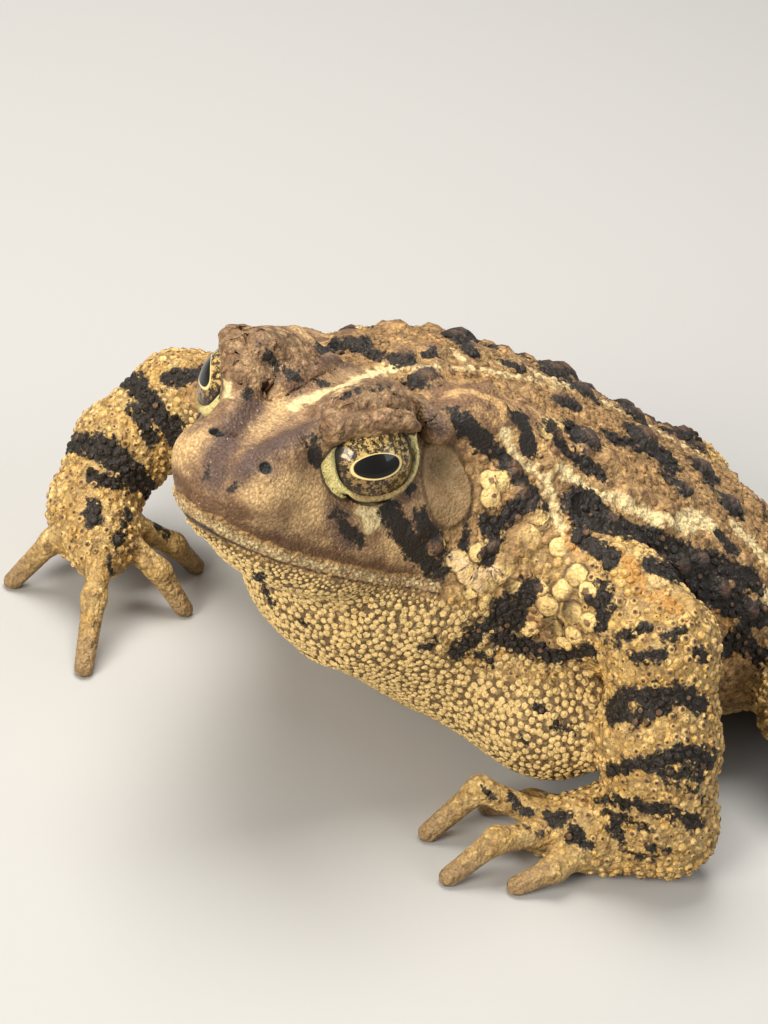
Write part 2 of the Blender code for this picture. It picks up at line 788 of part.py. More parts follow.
def loose_parts(mesh):
    """The connected pieces of a mesh, as lists of face numbers, largest first."""
    bm = bmesh.new()
    bm.from_mesh(mesh)
    bm.faces.ensure_lookup_table()
    seen, pieces = set(), []
    for face in bm.faces:
        if face.index in seen:
            continue
        seen.add(face.index)
        piece, edge_of = [face], 0
        while edge_of < len(piece):
            for edge in piece[edge_of].edges:
                for other in edge.link_faces:
                    if other.index not in seen:
                        seen.add(other.index)
                        piece.append(other)
            edge_of += 1
        pieces.append([f.index for f in piece])
    bm.free()
    return sorted(pieces, key=len, reverse=True)


def only_faces(mesh, kept):
    bm = bmesh.new()
    bm.from_mesh(mesh)
    kept = set(kept)
    bmesh.ops.delete(
        bm, geom=[f for f in bm.faces if f.index not in kept], context="FACES"
    )
    piece = bpy.data.meshes.new("piece")
    bm.to_mesh(piece)
    bm.free()
    return piece


def keep_largest(thing):
    pieces = loose_parts(thing.data)
    if len(pieces) > 1:
        thing.data = only_faces(thing.data, pieces[0])


# Eggs that part each hand from its forearm and fingers: centre, half sizes across, along
# and up, and the heading of the palm in degrees
PALM_CUTS = {
    "left": ((33.8, -4.8, 3.0), (8.0, 10.6, 6.8), -36.0),
    "right": ((-32.2, -29.4, 8.0), (7.4, 7.4, 7.0), 20.0),
}
ELBOW = {"left": 2, "right": 1}
NECK_CUT = ((-0.5, -15.2, 27.0), (24.0, CUT_GAP / 2, 23.0))


def spun(degrees):
    c, s = math.cos(math.radians(degrees)), math.sin(math.radians(degrees))
    return np.array([[c, -s, 0], [s, c, 0], [0, 0, 1]])


def tympanum(s):
    """The flat ear drum behind the eye, as a lens let into the skin."""
    return Egg(in_head(s * 13.5, 8.8, -2.1), (1.2, 3.0, 3.4), turned(0, s * -18))


def limb_cuts(side):
    """What parts a limb from the trunk, and its hand or foot from its digits."""
    arm, leg, foot = ARMS[side], LEGS[side], FEET[side]
    wrist = PALMS[side][:1]
    centre, sizes, heading = PALM_CUTS[side]
    shoulder, elbow = arm[0], arm[ELBOW[side]]
    return {
        "upper_arm": balls((shoulder[0], shoulder[1] + 1.6), (elbow[0], elbow[1] + 1.3)),
        "hand": [Egg(centre, sizes, spun(heading))],
        "forearm": balls(*[(place, radius + 1.2) for place, radius in arm[ELBOW[side]:] + wrist]),
        "thigh": balls((leg[0][0], leg[0][1] + 1.8), (leg[1][0], leg[1][1] + 1.6)),
        "foot": balls((foot[0][0], foot[0][1] + 1.6), (foot[2][0], foot[2][1] + 4.8)),
    }


def take(body, name, forms):
    """Parts what lies inside the forms from the body, with a thin gap between them."""
    part = as_object(name, body.data.copy())
    carve(part, hull_mesh(forms), "INTERSECT")
    keep_largest(part)
    carve(body, hull_mesh(grown(forms, CUT_GAP)), "DIFFERENCE")
    return part


def expected_middles():
    """About where the middle of each part lies that the cuts leave on its own."""
    middles = {"head": in_head(0, -2, -4), "torso": np.array([0, 15, 15.0])}
    for side in ("left", "right"):
        leg = LEGS[side]
        middles["shank_" + side] = (np.array(leg[1][0]) + leg[2][0]) / 2
        for number, points in enumerate(FINGERS[side], 1):
            middles[f"finger_{number}_{side}"] = np.mean(points[1:], 0)
        for number in range(len(TOES)):
            points = toe_points(side, number)
            middles[f"toe_{number + 1}_{side}"] = np.mean(points[1:], 0)
    return middles


def name_the_rest(body):
    """Gives each piece that is left of the body the name whose middle it lies nearest."""
    pieces = [only_faces(body.data, piece) for piece in loose_parts(body.data)]
    pieces = [mesh for mesh in pieces if np.ptp(vertex_places(mesh), axis=0).max() > CRUMB]
    middles = [vertex_places(mesh).mean(0) for mesh in pieces]
    parts = []
    for name, middle in expected_middles().items():
        away = [np.linalg.norm(m - middle) for m in middles]
        nearest = int(np.argmin(away))
        parts.append(as_object(name, pieces.pop(nearest)))
        middles.pop(nearest)
    bpy.data.objects.remove(body)
    return parts


def whole_body():
    raise_warts()
    mesh = rough_union()
    draw_onto_flesh(mesh)
    body = as_object("body", mesh)
    thin_out(body, TRIANGLES_WANTED)
    flatten_underside(body)
    keep_largest(body)
    return body


def divide(body):
    parts = []
    for side, s in (("left", 1), ("right", -1)):
        eye = [Egg(eye_centre(s), (EYE_RADIUS,) * 3)]
        parts.append(as_object("eye_" + side, hull_mesh(eye, 3)))
        carve(body, hull_mesh(grown(eye, CUT_GAP), 3), "DIFFERENCE")
        parts.append(take(body, "tympanum_" + side, [tympanum(s)]))
        parts.append(take(body, "parotoid_" + side, grown(parotoid(s), 0.7)))
        for name, forms in limb_cuts(side).items():
            parts.append(take(body, f"{name}_{side}", forms))
    centre, half = NECK_CUT
    carve(body, box(centre, spun(6) @ pitched(14), half), "DIFFERENCE")
    return parts + name_the_rest(body)


def pitched(degrees):
    c, s = math.cos(math.radians(degrees)), math.sin(math.radians(degrees))
    return np.array([[1, 0, 0], [0, c, s], [0, -s, c]])


SKIN = (0.42, 0.32, 0.17)
COLOURS = {
    "eye": ((0.03, 0.02, 0.01), 0.1),
    "tympanum": ((0.30, 0.24, 0.12), 0.6),
    "parotoid": ((0.30, 0.19, 0.11), 0.55),
    "head": ((0.36, 0.25, 0.15), 0.55),
    "torso": ((0.33, 0.24, 0.14), 0.6),
    "upper_arm": ((0.45, 0.33, 0.13), 0.6),
    "forearm": ((0.47, 0.35, 0.14), 0.6),
}


def paint(thing):
    kind = thing.name.rsplit("_", 1)[0]
    colour, rough = COLOURS.get(kind, (SKIN, 0.6))
    material = bpy.data.materials.new(thing.name)
    material.use_nodes = True
    shader = material.node_tree.nodes["Principled BSDF"]
    shader.inputs["Base Color"].default_value = (*colour, 1.0)
    shader.inputs["Roughness"].default_value = rough
    shader.inputs["Metallic"].default_value = 0.0
    thing.data.materials.clear()
    thing.data.materials.append(material)


def stand_over_origin(parts):
    """Scales to metres, with the middle of the whole toad's bounds over the origin."""
    places = np.vstack([vertex_places(part.data) for part in parts])
    middle = (places.min(0) + places.max(0)) / 2
    middle[2] = 0.0
    move = Matrix.Scale(MM, 4) @ Matrix.Translation(Vector(-middle))
    for part in parts:
        part.data.transform(move)


def main():
    for thing in list(bpy.data.objects):
        bpy.data.objects.remove(thing)
    parts = divide(whole_body())
    for part in parts:
        paint(part)
    stand_over_origin(parts)


main()
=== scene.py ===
"""The looks of a life-size American toad, sitting, as a museum shows it.

One skin is drawn over the same volumes that the solids have, much finer, and carries the
markings as signed distances in millimetres, which its material sharpens into blotches, bands
and stripes. Geometry Nodes set the pebbles and tubercles on it. The eyes are pieces of their
own. Lengths are in millimetres in the toad's own frame, until a mesh is moved to the frame.
"""

import math
import random

import bmesh
import bpy
import numpy as np
from mathutils import Matrix, Vector
from mathutils.bvhtree import BVHTree


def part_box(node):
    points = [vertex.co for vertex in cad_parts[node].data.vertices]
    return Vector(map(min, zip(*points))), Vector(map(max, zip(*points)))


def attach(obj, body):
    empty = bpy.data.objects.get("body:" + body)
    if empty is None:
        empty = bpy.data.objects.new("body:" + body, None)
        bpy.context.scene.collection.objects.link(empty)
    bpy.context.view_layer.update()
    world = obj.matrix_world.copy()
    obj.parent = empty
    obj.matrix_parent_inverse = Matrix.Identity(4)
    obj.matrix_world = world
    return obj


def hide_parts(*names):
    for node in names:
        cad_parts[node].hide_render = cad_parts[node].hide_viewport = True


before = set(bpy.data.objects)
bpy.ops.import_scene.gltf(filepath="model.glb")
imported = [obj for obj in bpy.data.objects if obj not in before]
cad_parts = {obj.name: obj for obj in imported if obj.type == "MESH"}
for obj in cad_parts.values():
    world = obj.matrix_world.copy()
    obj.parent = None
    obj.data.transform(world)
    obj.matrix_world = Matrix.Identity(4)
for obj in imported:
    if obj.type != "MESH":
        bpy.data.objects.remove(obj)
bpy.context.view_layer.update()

MM = 0.001

# The photograph's frame and the camera that took it, in the toad's frame
PHOTO_WIDTH, PHOTO_HEIGHT = 768, 1024
FOCAL_PIXELS = 2600.0
SENSOR_MM = 36.0
CAMERA_PLACE = (180.65, -171.12, 180.5)
CAMERA_RIGHT = (0.57305578, 0.80571288, 0.14977928)
CAMERA_UP = (-0.51855795, 0.21497584, 0.82757661)

# Driving sizes
EYE_RADIUS = 5.2
# The opening between the lids, from the eye's middle: to the front and rear corners, to the
# upper lid and to the lower one
LID_FRONT, LID_REAR, LID_ABOVE, LID_BELOW = 4.45, 5.35, 3.05, 3.75
LID_THICK = 0.32
# 2 would make the opening an oval; more squares its corners
SQUARE_ABOVE, SQUARE_BELOW = 3.6, 2.1
FINGER_RADIUS = 1.35
TOE_RADIUS = 1.2
TIP_HEIGHT = 0.7

# The head has a frame of its own: its origin is midway between the eyeballs, x points to
# its left, y to its back and z up. It is lifted by HEAD_PITCH and turned left by HEAD_YAW.
HEAD_CENTRE = np.array([0.5, -27.5, 40.9])
HEAD_PITCH = math.radians(15)
HEAD_YAW = math.radians(20)
# The neck's turn lifts the head's right half, by this share of the way out from its middle,
# and flattens the brow and the poison gland of that side
RIGHT_LIFT = 0.14
RIGHT_BROW_DROP = 0.9
RIGHT_GLAND_DROP = 3.5
EYE_SEAT = np.array([7.6, 0.0, 0.0])
EYE_AXIS = np.array([0.72, -0.64, 0.26])
EYE_TILT = math.radians(18)

# The left half of the mouth line in the head's frame, from the snout to the corner
MOUTH = [
    (0.0, -15.4, -8.2),
    (2.7, -14.3, -8.9),
    (5.2, -11.8, -9.9),
    (7.6, -8.8, -10.7),
    (10.5, -2.8, -11.8),
    (13.0, 2.9, -12.8),
    (14.8, 7.8, -12.9),
]

# Trunk stations from the neck to the vent: y, then the middle in x, the half width, and the
# heights of the widest line, the back and the belly
TRUNK = [
    (-22.0, -3.0, 13.0, 27.0, 42.0, 14.0),
    (-14.0, -3.5, 20.0, 22.0, 43.5, 4.5),
    (-5.0, -3.5, 24.5, 19.0, 42.5, 0.2),
    (5.0, -3.0, 26.5, 17.0, 38.8, -0.8),
    (15.0, -1.5, 28.5, 15.0, 34.0, -0.8),
    (25.0, 0.5, 27.5, 12.5, 28.0, -0.8),
    (35.0, 3.0, 22.5, 10.5, 21.8, -0.6),
    (43.0, 5.5, 14.0, 8.5, 15.0, 0.4),
    (48.0, 7.0, 4.0, 7.0, 9.5, 4.0),
]
# 2 would make the belly an oval across; more makes it flatter underneath
BELLY_POWER = 2.6


def along(stations, place):
    """Values between the stations, as smooth curves over their first column."""
    table = np.array(stations, float)
    keys, values = table[:, 0], table[:, 1:]
    place = np.clip(np.atleast_1d(place), keys[0], keys[-1])
    k = np.clip(np.searchsorted(keys, place) - 1, 0, len(keys) - 2)
    slope = np.gradient(values, keys, axis=0)
    width = (keys[k + 1] - keys[k])[:, None]
    t = (place - keys[k])[:, None] / width
    return (
        values[k] * (2 * t**3 - 3 * t**2 + 1)
        + slope[k] * width * (t**3 - 2 * t**2 + t)
        + values[k + 1] * (3 * t**2 - 2 * t**3)
        + slope[k + 1] * width * (t**3 - t**2)
    )


def head_axes():
    """The head's left, back and up axes, as the columns of a matrix."""
    c, s = math.cos(HEAD_PITCH), math.sin(HEAD_PITCH)
    lift = np.array([[1, 0, 0], [0, c, s], [0, -s, c]])
    c, s = math.cos(HEAD_YAW), math.sin(HEAD_YAW)
    turn = np.array([[c, -s, 0], [s, c, 0], [0, 0, 1]])
    return turn @ lift


HEAD_AXES = head_axes()


def right_lift(x):
    """How much the head's right half sits higher, as the neck's turn tips it."""
    return RIGHT_LIFT * np.clip(-x, 0, 8)


def in_head(x, y, z):
    """A point given in the head's frame, in the toad's frame."""
    return HEAD_CENTRE + HEAD_AXES @ np.array([x, y, z + right_lift(x)], float)


class Egg:
    """An ellipsoid: centre, half sizes along its own axes, and those axes as columns."""

    def __init__(self, centre, radii, axes=None):
        self.centre = np.asarray(centre, float)
        self.radii = np.asarray(radii, float)
        self.axes = np.eye(3) if axes is None else np.asarray(axes, float)
        reach = np.sqrt(((self.axes * self.radii) ** 2).sum(1))
        self.low, self.high = self.centre - reach, self.centre + reach

    def distance(self, points):
        q = (points - self.centre) @ self.axes
        scaled = np.linalg.norm(q / self.radii, axis=1)
        slope = np.linalg.norm(q / self.radii**2, axis=1)
        return scaled * (scaled - 1) / np.maximum(slope, 1e-9)

    def add_to(self, bm, detail=3):
        turn = Matrix(self.axes.tolist()).to_4x4()
        size = Matrix.Diagonal((*self.radii, 1.0))
        place = Matrix.Translation(Vector(self.centre)) @ turn @ size
        bmesh.ops.create_icosphere(bm, subdivisions=detail, radius=1.0, matrix=place)


class Rod:
    """A round rod from a to b whose radius goes from ra to rb, with round ends."""

    def __init__(self, a, b, ra, rb):
        self.a, self.b = np.asarray(a, float), np.asarray(b, float)
        self.ra, self.rb = ra, rb
        self.low = np.minimum(self.a - ra, self.b - rb)
        self.high = np.maximum(self.a + ra, self.b + rb)

    def distance(self, points):
        axis = self.b - self.a
        share = np.clip((points - self.a) @ axis / (axis @ axis), 0, 1)
        nearest = self.a + share[:, None] * axis
        return np.linalg.norm(points - nearest, axis=1) - (
            self.ra + share * (self.rb - self.ra)
        )

    def add_to(self, bm):
        for centre, radius in ((self.a, self.ra), (self.b, self.rb)):
            place = Matrix.Translation(Vector(centre))
            bmesh.ops.create_icosphere(bm, subdivisions=2, radius=radius, matrix=place)
        axis = Vector(self.b - self.a)
        turn = axis.to_track_quat("Z", "Y").to_matrix().to_4x4()
        bmesh.ops.create_cone(
            bm,
            cap_ends=True,
            segments=16,
            radius1=self.ra,
            radius2=self.rb,
            depth=axis.length,
            matrix=Matrix.Translation(Vector((self.a + self.b) / 2)) @ turn,
        )


class Trunk:
    """A body of oval sections across y. Each section is taller above its widest line than
    below it, as the stations say."""

    def __init__(self, stations):
        self.stations = stations
        table = np.array(stations, float)
        self.first, self.last = table[0, 0], table[-1, 0]
        half = table[:, 2]
        left, right = table[:, 1] - half, table[:, 1] + half
        self.low = np.array([left.min(), self.first, table[:, 5].min()])
        self.high = np.array([right.max(), self.last, table[:, 4].max()])

    def distance(self, points):
        middle, half, widest, top, bottom = along(self.stations, points[:, 1]).T
        across = np.abs(points[:, 0] - middle) / half
        above = points[:, 2] > widest
        tall = np.where(above, top - widest, widest - bottom)
        up = np.abs(points[:, 2] - widest) / tall
        power = np.where(above, 2.0, BELLY_POWER)
        scaled = np.maximum((across**power + up**power) ** (1 / power), 1e-6)
        rise = scaled ** (1 - power)
        slope = rise * np.hypot(across ** (power - 1) / half, up ** (power - 1) / tall)
        off = (scaled - 1) / np.maximum(slope, 1e-6)
        beyond = points[:, 1] - np.clip(points[:, 1], self.first, self.last)
        return np.where(beyond == 0, off, np.hypot(np.maximum(off, 0), beyond))

    def add_to(self, bm, rings=40, around=36):
        loops = []
        for y in np.linspace(self.first, self.last, rings):
            middle, half, widest, top, bottom = along(self.stations, y)[0]
            loop = []
            for turn in np.arange(around) * 2 * math.pi / around:
                up = math.sin(turn)
                z = widest + up * (top - widest if up > 0 else widest - bottom)
                loop.append(bm.verts.new((middle + half * math.cos(turn), y, z)))
            loops.append(loop)
        for here, there in zip(loops, loops[1:]):
            for k in range(around):
                m = (k + 1) % around
                bm.faces.new((here[k], there[k], there[m], here[m]))
        bm.faces.new(loops[0])
        bm.faces.new(loops[-1][::-1])


def rods(*stations):
    """Rods end to end through (point, radius) stations."""
    return [
        Rod(a, b, ra, rb) for (a, ra), (b, rb) in zip(stations, stations[1:])
    ]


def smooth_min(a, b, blend):
    """The union of two distances, with a fillet about as wide as blend."""
    if blend <= 0:
        return np.minimum(a, b)
    h = np.maximum(blend - np.abs(a - b), 0) / blend
    return np.minimum(a, b) - h * h * blend / 4


def distance_to(forms, points, blend=0.0):
    """Signed distance to some forms, blended together."""
    total = forms[0].distance(points)
    for form in forms[1:]:
        total = smooth_min(total, form.distance(points), blend)
    return total


class Group:
    """Volumes blended together by inner, and then to the rest of the toad by outer."""

    def __init__(self, forms, inner, outer):
        self.forms, self.inner, self.outer = forms, inner, outer
        self.low = np.min([f.low for f in forms], 0)
        self.high = np.max([f.high for f in forms], 0)

    def join(self, points, total):
        """total, with this group blended in where points come near it."""
        reach = self.outer + self.inner + 1.5
        near = np.all((points > self.low - reach) & (points < self.high + reach), 1)
        if not near.any():
            return total
        own = distance_to(self.forms, points[near], self.inner)
        total[near] = smooth_min(total[near], own, self.outer)
        return total


def turned(pitch=0.0, yaw=0.0):
    """The head's axes, nosed down by pitch and turned to its left by yaw, in degrees."""
    c, s = math.cos(math.radians(pitch)), math.sin(math.radians(pitch))
    nod = np.array([[1, 0, 0], [0, c, -s], [0, s, c]])
    c, s = math.cos(math.radians(yaw)), math.sin(math.radians(yaw))
    turn = np.array([[c, -s, 0], [s, c, 0], [0, 0, 1]])
    return HEAD_AXES @ turn @ nod


def head_forms():
    forms = [
        Egg(in_head(0, 5.0, -1.6), (11.0, 13.0, 5.4), turned()),
        Egg(in_head(0.5, 4.5, 0.6), (4.4, 8.5, 3.9), turned()),
        Egg(in_head(0, -6.2, -3.7), (6.4, 9.8, 5.0), turned(20)),
        Egg(in_head(0, 6.0, -7.5), (12.6, 12.0, 6.5), turned()),
    ]
    for s in (1, -1):
        forms += [
            Egg(in_head(s * 8.4, 5.0, -6.4), (5.6, 11.5, 5.6), turned(0, s * -22)),
            Egg(in_head(s * 4.3, -6.2, -6.2), (4.2, 9.4, 4.2), turned(0, s * -30)),
            Egg(in_head(s * 3.2, -11.4, -3.4), (3.5, 3.7, 3.2), turned()),
            lid_pad(s),
        ]
    return forms


def lid_pad(s):
    """The thick upper lid over the eyeball."""
    return Egg(in_head(s * 6.7, 1.1, 2.5), (4.7, 6.2, 4.7), turned())


def throat_forms():
    return [
        Egg(in_head(1.5, -0.5, -10.4), (7.0, 9.0, 3.0), turned(8)),
        Egg(in_head(1.5, 4.5, -12.2), (10.8, 10.8, 5.4), turned()),
        Egg(in_head(4.0, 14.5, -17.5), (14.0, 10.5, 10.5), turned()),
        Egg((19.2, -4.0, 11.4), (10.6, 8.2, 8.1)),
    ]


def mouth_line(down, out):
    """Points along the mouth from its right corner to its left, moved down and out."""
    half = [(x + out * min(1, x / 3), y - out * max(0, 1 - x / 9), z - down)
            for x, y, z in MOUTH]
    return [(-x, y, z) for x, y, z in half[:0:-1]] + half


def upper_lip():
    return rods(*[(in_head(*p), 1.1) for p in mouth_line(-1.1, -1.3)])


def lower_lip():
    return rods(*[(in_head(*p), 0.85) for p in mouth_line(0.9, -3.2)])


def canthus(s):
    """The blunt ridge from the eye to the nostril."""
    return rods(
        (in_head(s * 5.4, -4.0, 2.2), 1.4),
        (in_head(s * 3.9, -8.2, 0.4), 1.3),
        (in_head(s * 2.4, -12.0, -2.0), 1.4),
    )


def brow_drop(s):
    """How much lower the right brow and its crests lie, as the neck's turn flattens them."""
    return 0.0 if s > 0 else RIGHT_BROW_DROP


def crests(s):
    """The bony ridge inside the upper lid, and the one behind the eye."""
    low = brow_drop(s)
    return rods(
        (in_head(0.5 + s * 3.0, -3.4, 4.1 - low), 0.7),
        (in_head(0.5 + s * 3.2, -0.5, 5.1 - low), 1.0),
        (in_head(0.5 + s * 3.4, 4.0, 5.4 - low), 1.1),
        (in_head(0.4 + s * 3.9, 8.4, 5.0 - low), 1.1),
    ) + rods(
        (in_head(0.4 + s * 3.9, 8.4, 5.0 - low), 1.1),
        (in_head(s * 8.2, 7.6, 4.9), 1.1),
        (in_head(s * 11.2, 8.2, 3.4), 1.3),
    )


def eye_centre(s):
    return in_head(s * EYE_SEAT[0], EYE_SEAT[1], EYE_SEAT[2])


def eye_frame(s):
    """Columns: towards the rear corner of the eye, towards its upper lid, and outwards."""
    out = HEAD_AXES @ (EYE_AXIS * np.array([s, 1, 1]))
    out /= np.linalg.norm(out)
    up = HEAD_AXES @ np.array([0, 0, 1.0])
    up -= out * (up @ out)
    up /= np.linalg.norm(up)
    rear = np.cross(up, out) * s
    c, t = math.cos(EYE_TILT), math.sin(EYE_TILT)
    return np.column_stack([rear * c + up * t, up * c - rear * t, out])


def by_eye(s, rear, up, out):
    """A point in the eye's frame, in the toad's frame."""
    return eye_centre(s) + eye_frame(s) @ np.array([rear, up, out], float)


def brow(s):
    """The rolled edge of the upper lid, which hoods the eye."""
    low = brow_drop(s)
    return rods(
        (by_eye(s, -5.3, 1.9, 2.2), 0.8),
        (by_eye(s, -3.7, 3.8, 3.6), 1.15),
        (by_eye(s, -1.2, 4.3, 4.3), 1.05),
        (by_eye(s, 1.4, 4.25 - low, 4.4), 1.1),
        (by_eye(s, 3.6, 3.7 - low * 1.3, 3.9), 1.0),
        (by_eye(s, 5.1, 2.8, 2.8), 0.6),
    )


def lid_rim(s, steps=24):
    """The thin rim of skin round the eyeball, flatter above than below."""
    stations = []
    for k in range(steps + 1):
        turn = 2 * math.pi * k / steps
        c, t = math.cos(turn), math.sin(turn)
        power = 2 / (SQUARE_ABOVE if t > 0 else SQUARE_BELOW)
        rear = math.copysign(abs(c) ** power, c) * (LID_REAR if c > 0 else LID_FRONT)
        up = math.copysign(abs(t) ** power, t) * (LID_ABOVE if t > 0 else LID_BELOW)
        ball = EYE_RADIUS + 0.1 + 0.3 * max(c, 0)
        out = math.sqrt(max(ball**2 - rear**2 - up**2, 1.0))
        stations.append((by_eye(s, rear, up, out), LID_THICK + 0.35 * max(-c, 0) ** 2))
    return rods(*stations)


class Socket:
    """The opening between the lids: a rounded box across the eye, open outwards."""

    def __init__(self, s):
        self.centre, self.axes = eye_centre(s), eye_frame(s)

    def distance(self, points):
        rear, up, out = ((points - self.centre) @ self.axes).T
        wide = np.where(rear > 0, LID_REAR, LID_FRONT) + 0.1
        tall = np.where(up > 0, LID_ABOVE, LID_BELOW) + 0.1
        power = np.where(up > 0, SQUARE_ABOVE, SQUARE_BELOW)
        across = ((np.abs(rear) / wide) ** power + (np.abs(up) / tall) ** power) ** (1 / power)
        return np.maximum((across - 1) * 3.6, 0.6 - out)


def nostril(s):
    """The hole at the side of the snout, from outside the skin to inside it."""
    start = np.array([1.3 + s * 3.8, -13.6 - s * 0.6, 0.1 + s * 0.2])
    end = start + np.array([-s * 2.3, 3.4, -3.1])
    return Rod(in_head(*start), in_head(*end), 0.55 + s * 0.1, 0.4)


# Limb joints: (place, radius) from the trunk to the wrist or ankle
ARMS = {
    "left": [
        ((12, -3, 26), 7.0),
        ((24, 0, 26), 6.0),
        ((31.2, 0.6, 25), 5.4),
        ((35.2, -0.7, 16), 5.8),
        ((37.0, -0.1, 8), 5.9),
    ],
    "right": [
        ((-18, -6, 26), 7.0),
        ((-37.4, -16.4, 19.6), 5.6),
        ((-38.0, -23.4, 14.4), 5.4),
        ((-35.6, -29.2, 9.2), 4.6),
    ],
}
PALMS = {
    "left": [((38.0, 0.8, 5.1), 5.2), ((33.5, -6.2, 3.9), 4.1), ((30.8, -9.6, 3.5), 3.1)],
    "right": [((-34.6, -28.2, 9.0), 4.6), ((-31.6, -29.8, 8.0), 4.3), ((-29, -31, 7.4), 3.4)],
}
FINGERS = {
    "left": [
        [(30.4, -4.6, 3.6), (25.6, -7.6, 2.4), (22.4, -11.0, TIP_HEIGHT)],
        [(30.4, -9.6, 4.5), (24.6, -15.0, 6.2), (23.2, -19.8, TIP_HEIGHT)],
        [(32, -11.0, 4.4), (30.8, -17, 4.6), (30.0, -22.0, TIP_HEIGHT)],
        [(35.2, -8.5, 3.2), (35.4, -12.4, 2.4), (34.4, -16.2, TIP_HEIGHT)],
    ],
    "right": [
        [(-31.0, -24.5, 7.4), (-29.9, -20.0, 4.6), (-29.6, -16.6, TIP_HEIGHT)],
        [(-28.5, -27.5, 7.6), (-25.2, -25.0, 5.2), (-22.6, -22.6, TIP_HEIGHT)],
        [(-28.5, -31, 7.6), (-23.2, -35, 5.4), (-17.4, -39.2, TIP_HEIGHT)],
        [(-32.0, -30.5, 8.4), (-34.0, -34.5, 6.4), (-35.6, -38.4, TIP_HEIGHT)],
    ],
}
LEGS = {
    "left": [((15, 39, 10.5), 8.5), ((34, 24.5, 11.5), 6.0), ((26.5, 47, 5.8), 4.0)],
    "right": [((-7, 38, 10.5), 8.5), ((-30.5, 23, 11.2), 6.0), ((-21.5, 44.5, 5.8), 4.0)],
}
FEET = {
    "left": [((27, 47.5, 4.0), 3.5), ((35, 42.2, 3.2), 3.6), ((39.5, 39.2, 2.6), 3.0)],
    "right": [((-22, 45, 4.0), 3.5), ((-30, 40, 3.2), 3.6), ((-34.5, 37.0, 2.6), 3.0)],
}
# Toes from the inner to the outer: turn towards the body in degrees, and length
TOES = [(64, 8.5), (36, 11.0), (13, 14.5), (-8, 19.0), (-32, 13.5)]
TOE_SPACING = 2.4


def toe_points(side, number):
    """Root, knuckle and tip of a toe, which fans out from the front of its foot."""
    s = 1 if side == "left" else -1
    turn, length = TOES[number]
    ball = np.array(FEET[side][2][0], float)
    line = ball - np.array(FEET[side][1][0], float)
    heading = math.atan2(line[1], line[0])
    aim = heading - s * math.radians(turn)
    way = np.array([math.cos(aim), math.sin(aim), 0.0])
    inward = np.array([math.sin(heading), -math.cos(heading), 0.0]) * s
    root = ball + inward * TOE_SPACING * (2 - number) + way * 0.5
    points = [root, root + way * (1.5 + length / 2), root + way * (1.5 + length)]
    for point, height in zip(points, (2.2, 1.1, TIP_HEIGHT)):
        point[2] = height
    return points


def all_toes(side):
    return [toe_points(side, number) for number in range(len(TOES))]


def limb(stations):
    return rods(*[(np.array(p, float), r) for p, r in stations])


def digit(points, radius):
    a, b, c = (np.array(p, float) for p in points)
    return rods((a, radius * 1.12), (b, radius), (c, radius * 0.82))


def parotoid(s):
    """The poison gland behind the eye, long and kidney-shaped. The neck's turn to the left
    stretches the right one flatter."""
    low = 0.0 if s > 0 else RIGHT_GLAND_DROP
    return [
        Egg(in_head(s * 10.4, 14.2, 3.4 - low), (3.9, 4.6, 3.4), turned(0, s * -15)),
        Egg(in_head(s * 13.0, 19.4, 2.2 - low), (4.1, 5.4, 3.6), turned(-8, s * -22)),
        Egg(in_head(s * 15.4, 24.0, 0.2 - low), (3.6, 4.4, 3.2), turned(-12, s * -25)),
    ]


# The share of the distance to the skin that a line or a ray goes at each step
MARCH = 0.7


def onto_skin(start, towards, skin):
    """Where a line from start towards a point first meets the skin, and the way it came."""
    start, towards = np.asarray(start, float), np.asarray(towards, float)
    way = (towards - start) / np.linalg.norm(towards - start)
    spot = start.copy()
    for _ in range(90):
        spot = spot + way * MARCH * float(skin(spot[None])[0])
    return spot, way


# Back warts: radius, how many of that size, and the least distance between any two
WART_SIZES = [(2.2, 14, 5.2), (1.8, 26, 4.2), (1.4, 40, 3.3)]


def back_warts(skin):
    """Warts scattered over the back and flanks, clear of the spine and of each other."""
    dice = random.Random(5)
    found = []
    for radius, count, apart in WART_SIZES:
        made = tries = 0
        while made < count and tries < 600:
            tries += 1
            y = dice.uniform(-9, 42)
            lean = math.radians(dice.uniform(8, 78)) * dice.choice((-1, 1))
            middle, half, widest, top, _ = along(TRUNK, y)[0]
            inside = np.array([middle, y, widest])
            out = np.array([half * math.sin(lean), 0, (top - widest) * math.cos(lean)])
            spot = inside + out
            if any(np.linalg.norm(spot - c) < max(apart, r + radius) for c, r in found):
                continue
            found.append((onto_skin(inside + out * 1.6, inside, skin)[0], radius))
            made += 1
    return found


def wart_ball(spot, radius, inward, share, sink):
    """A ball whose middle lies just under the skin, so that only its dome shows. It has this
    share of the wart's radius, and is sunk by another."""
    return Egg(spot + inward * radius * sink, (radius * share,) * 3)


# Share and sink of a low wart, and of the steeper lumps on the eyelids
LOW_WART = (0.92, 0.15)
STEEP_LUMP = (1.0, 0.12)


# How softly each brow meets the upper lid, on the left and on the flatter right side
BROW_BLEND = {1: 0.7, -1: 2.2}


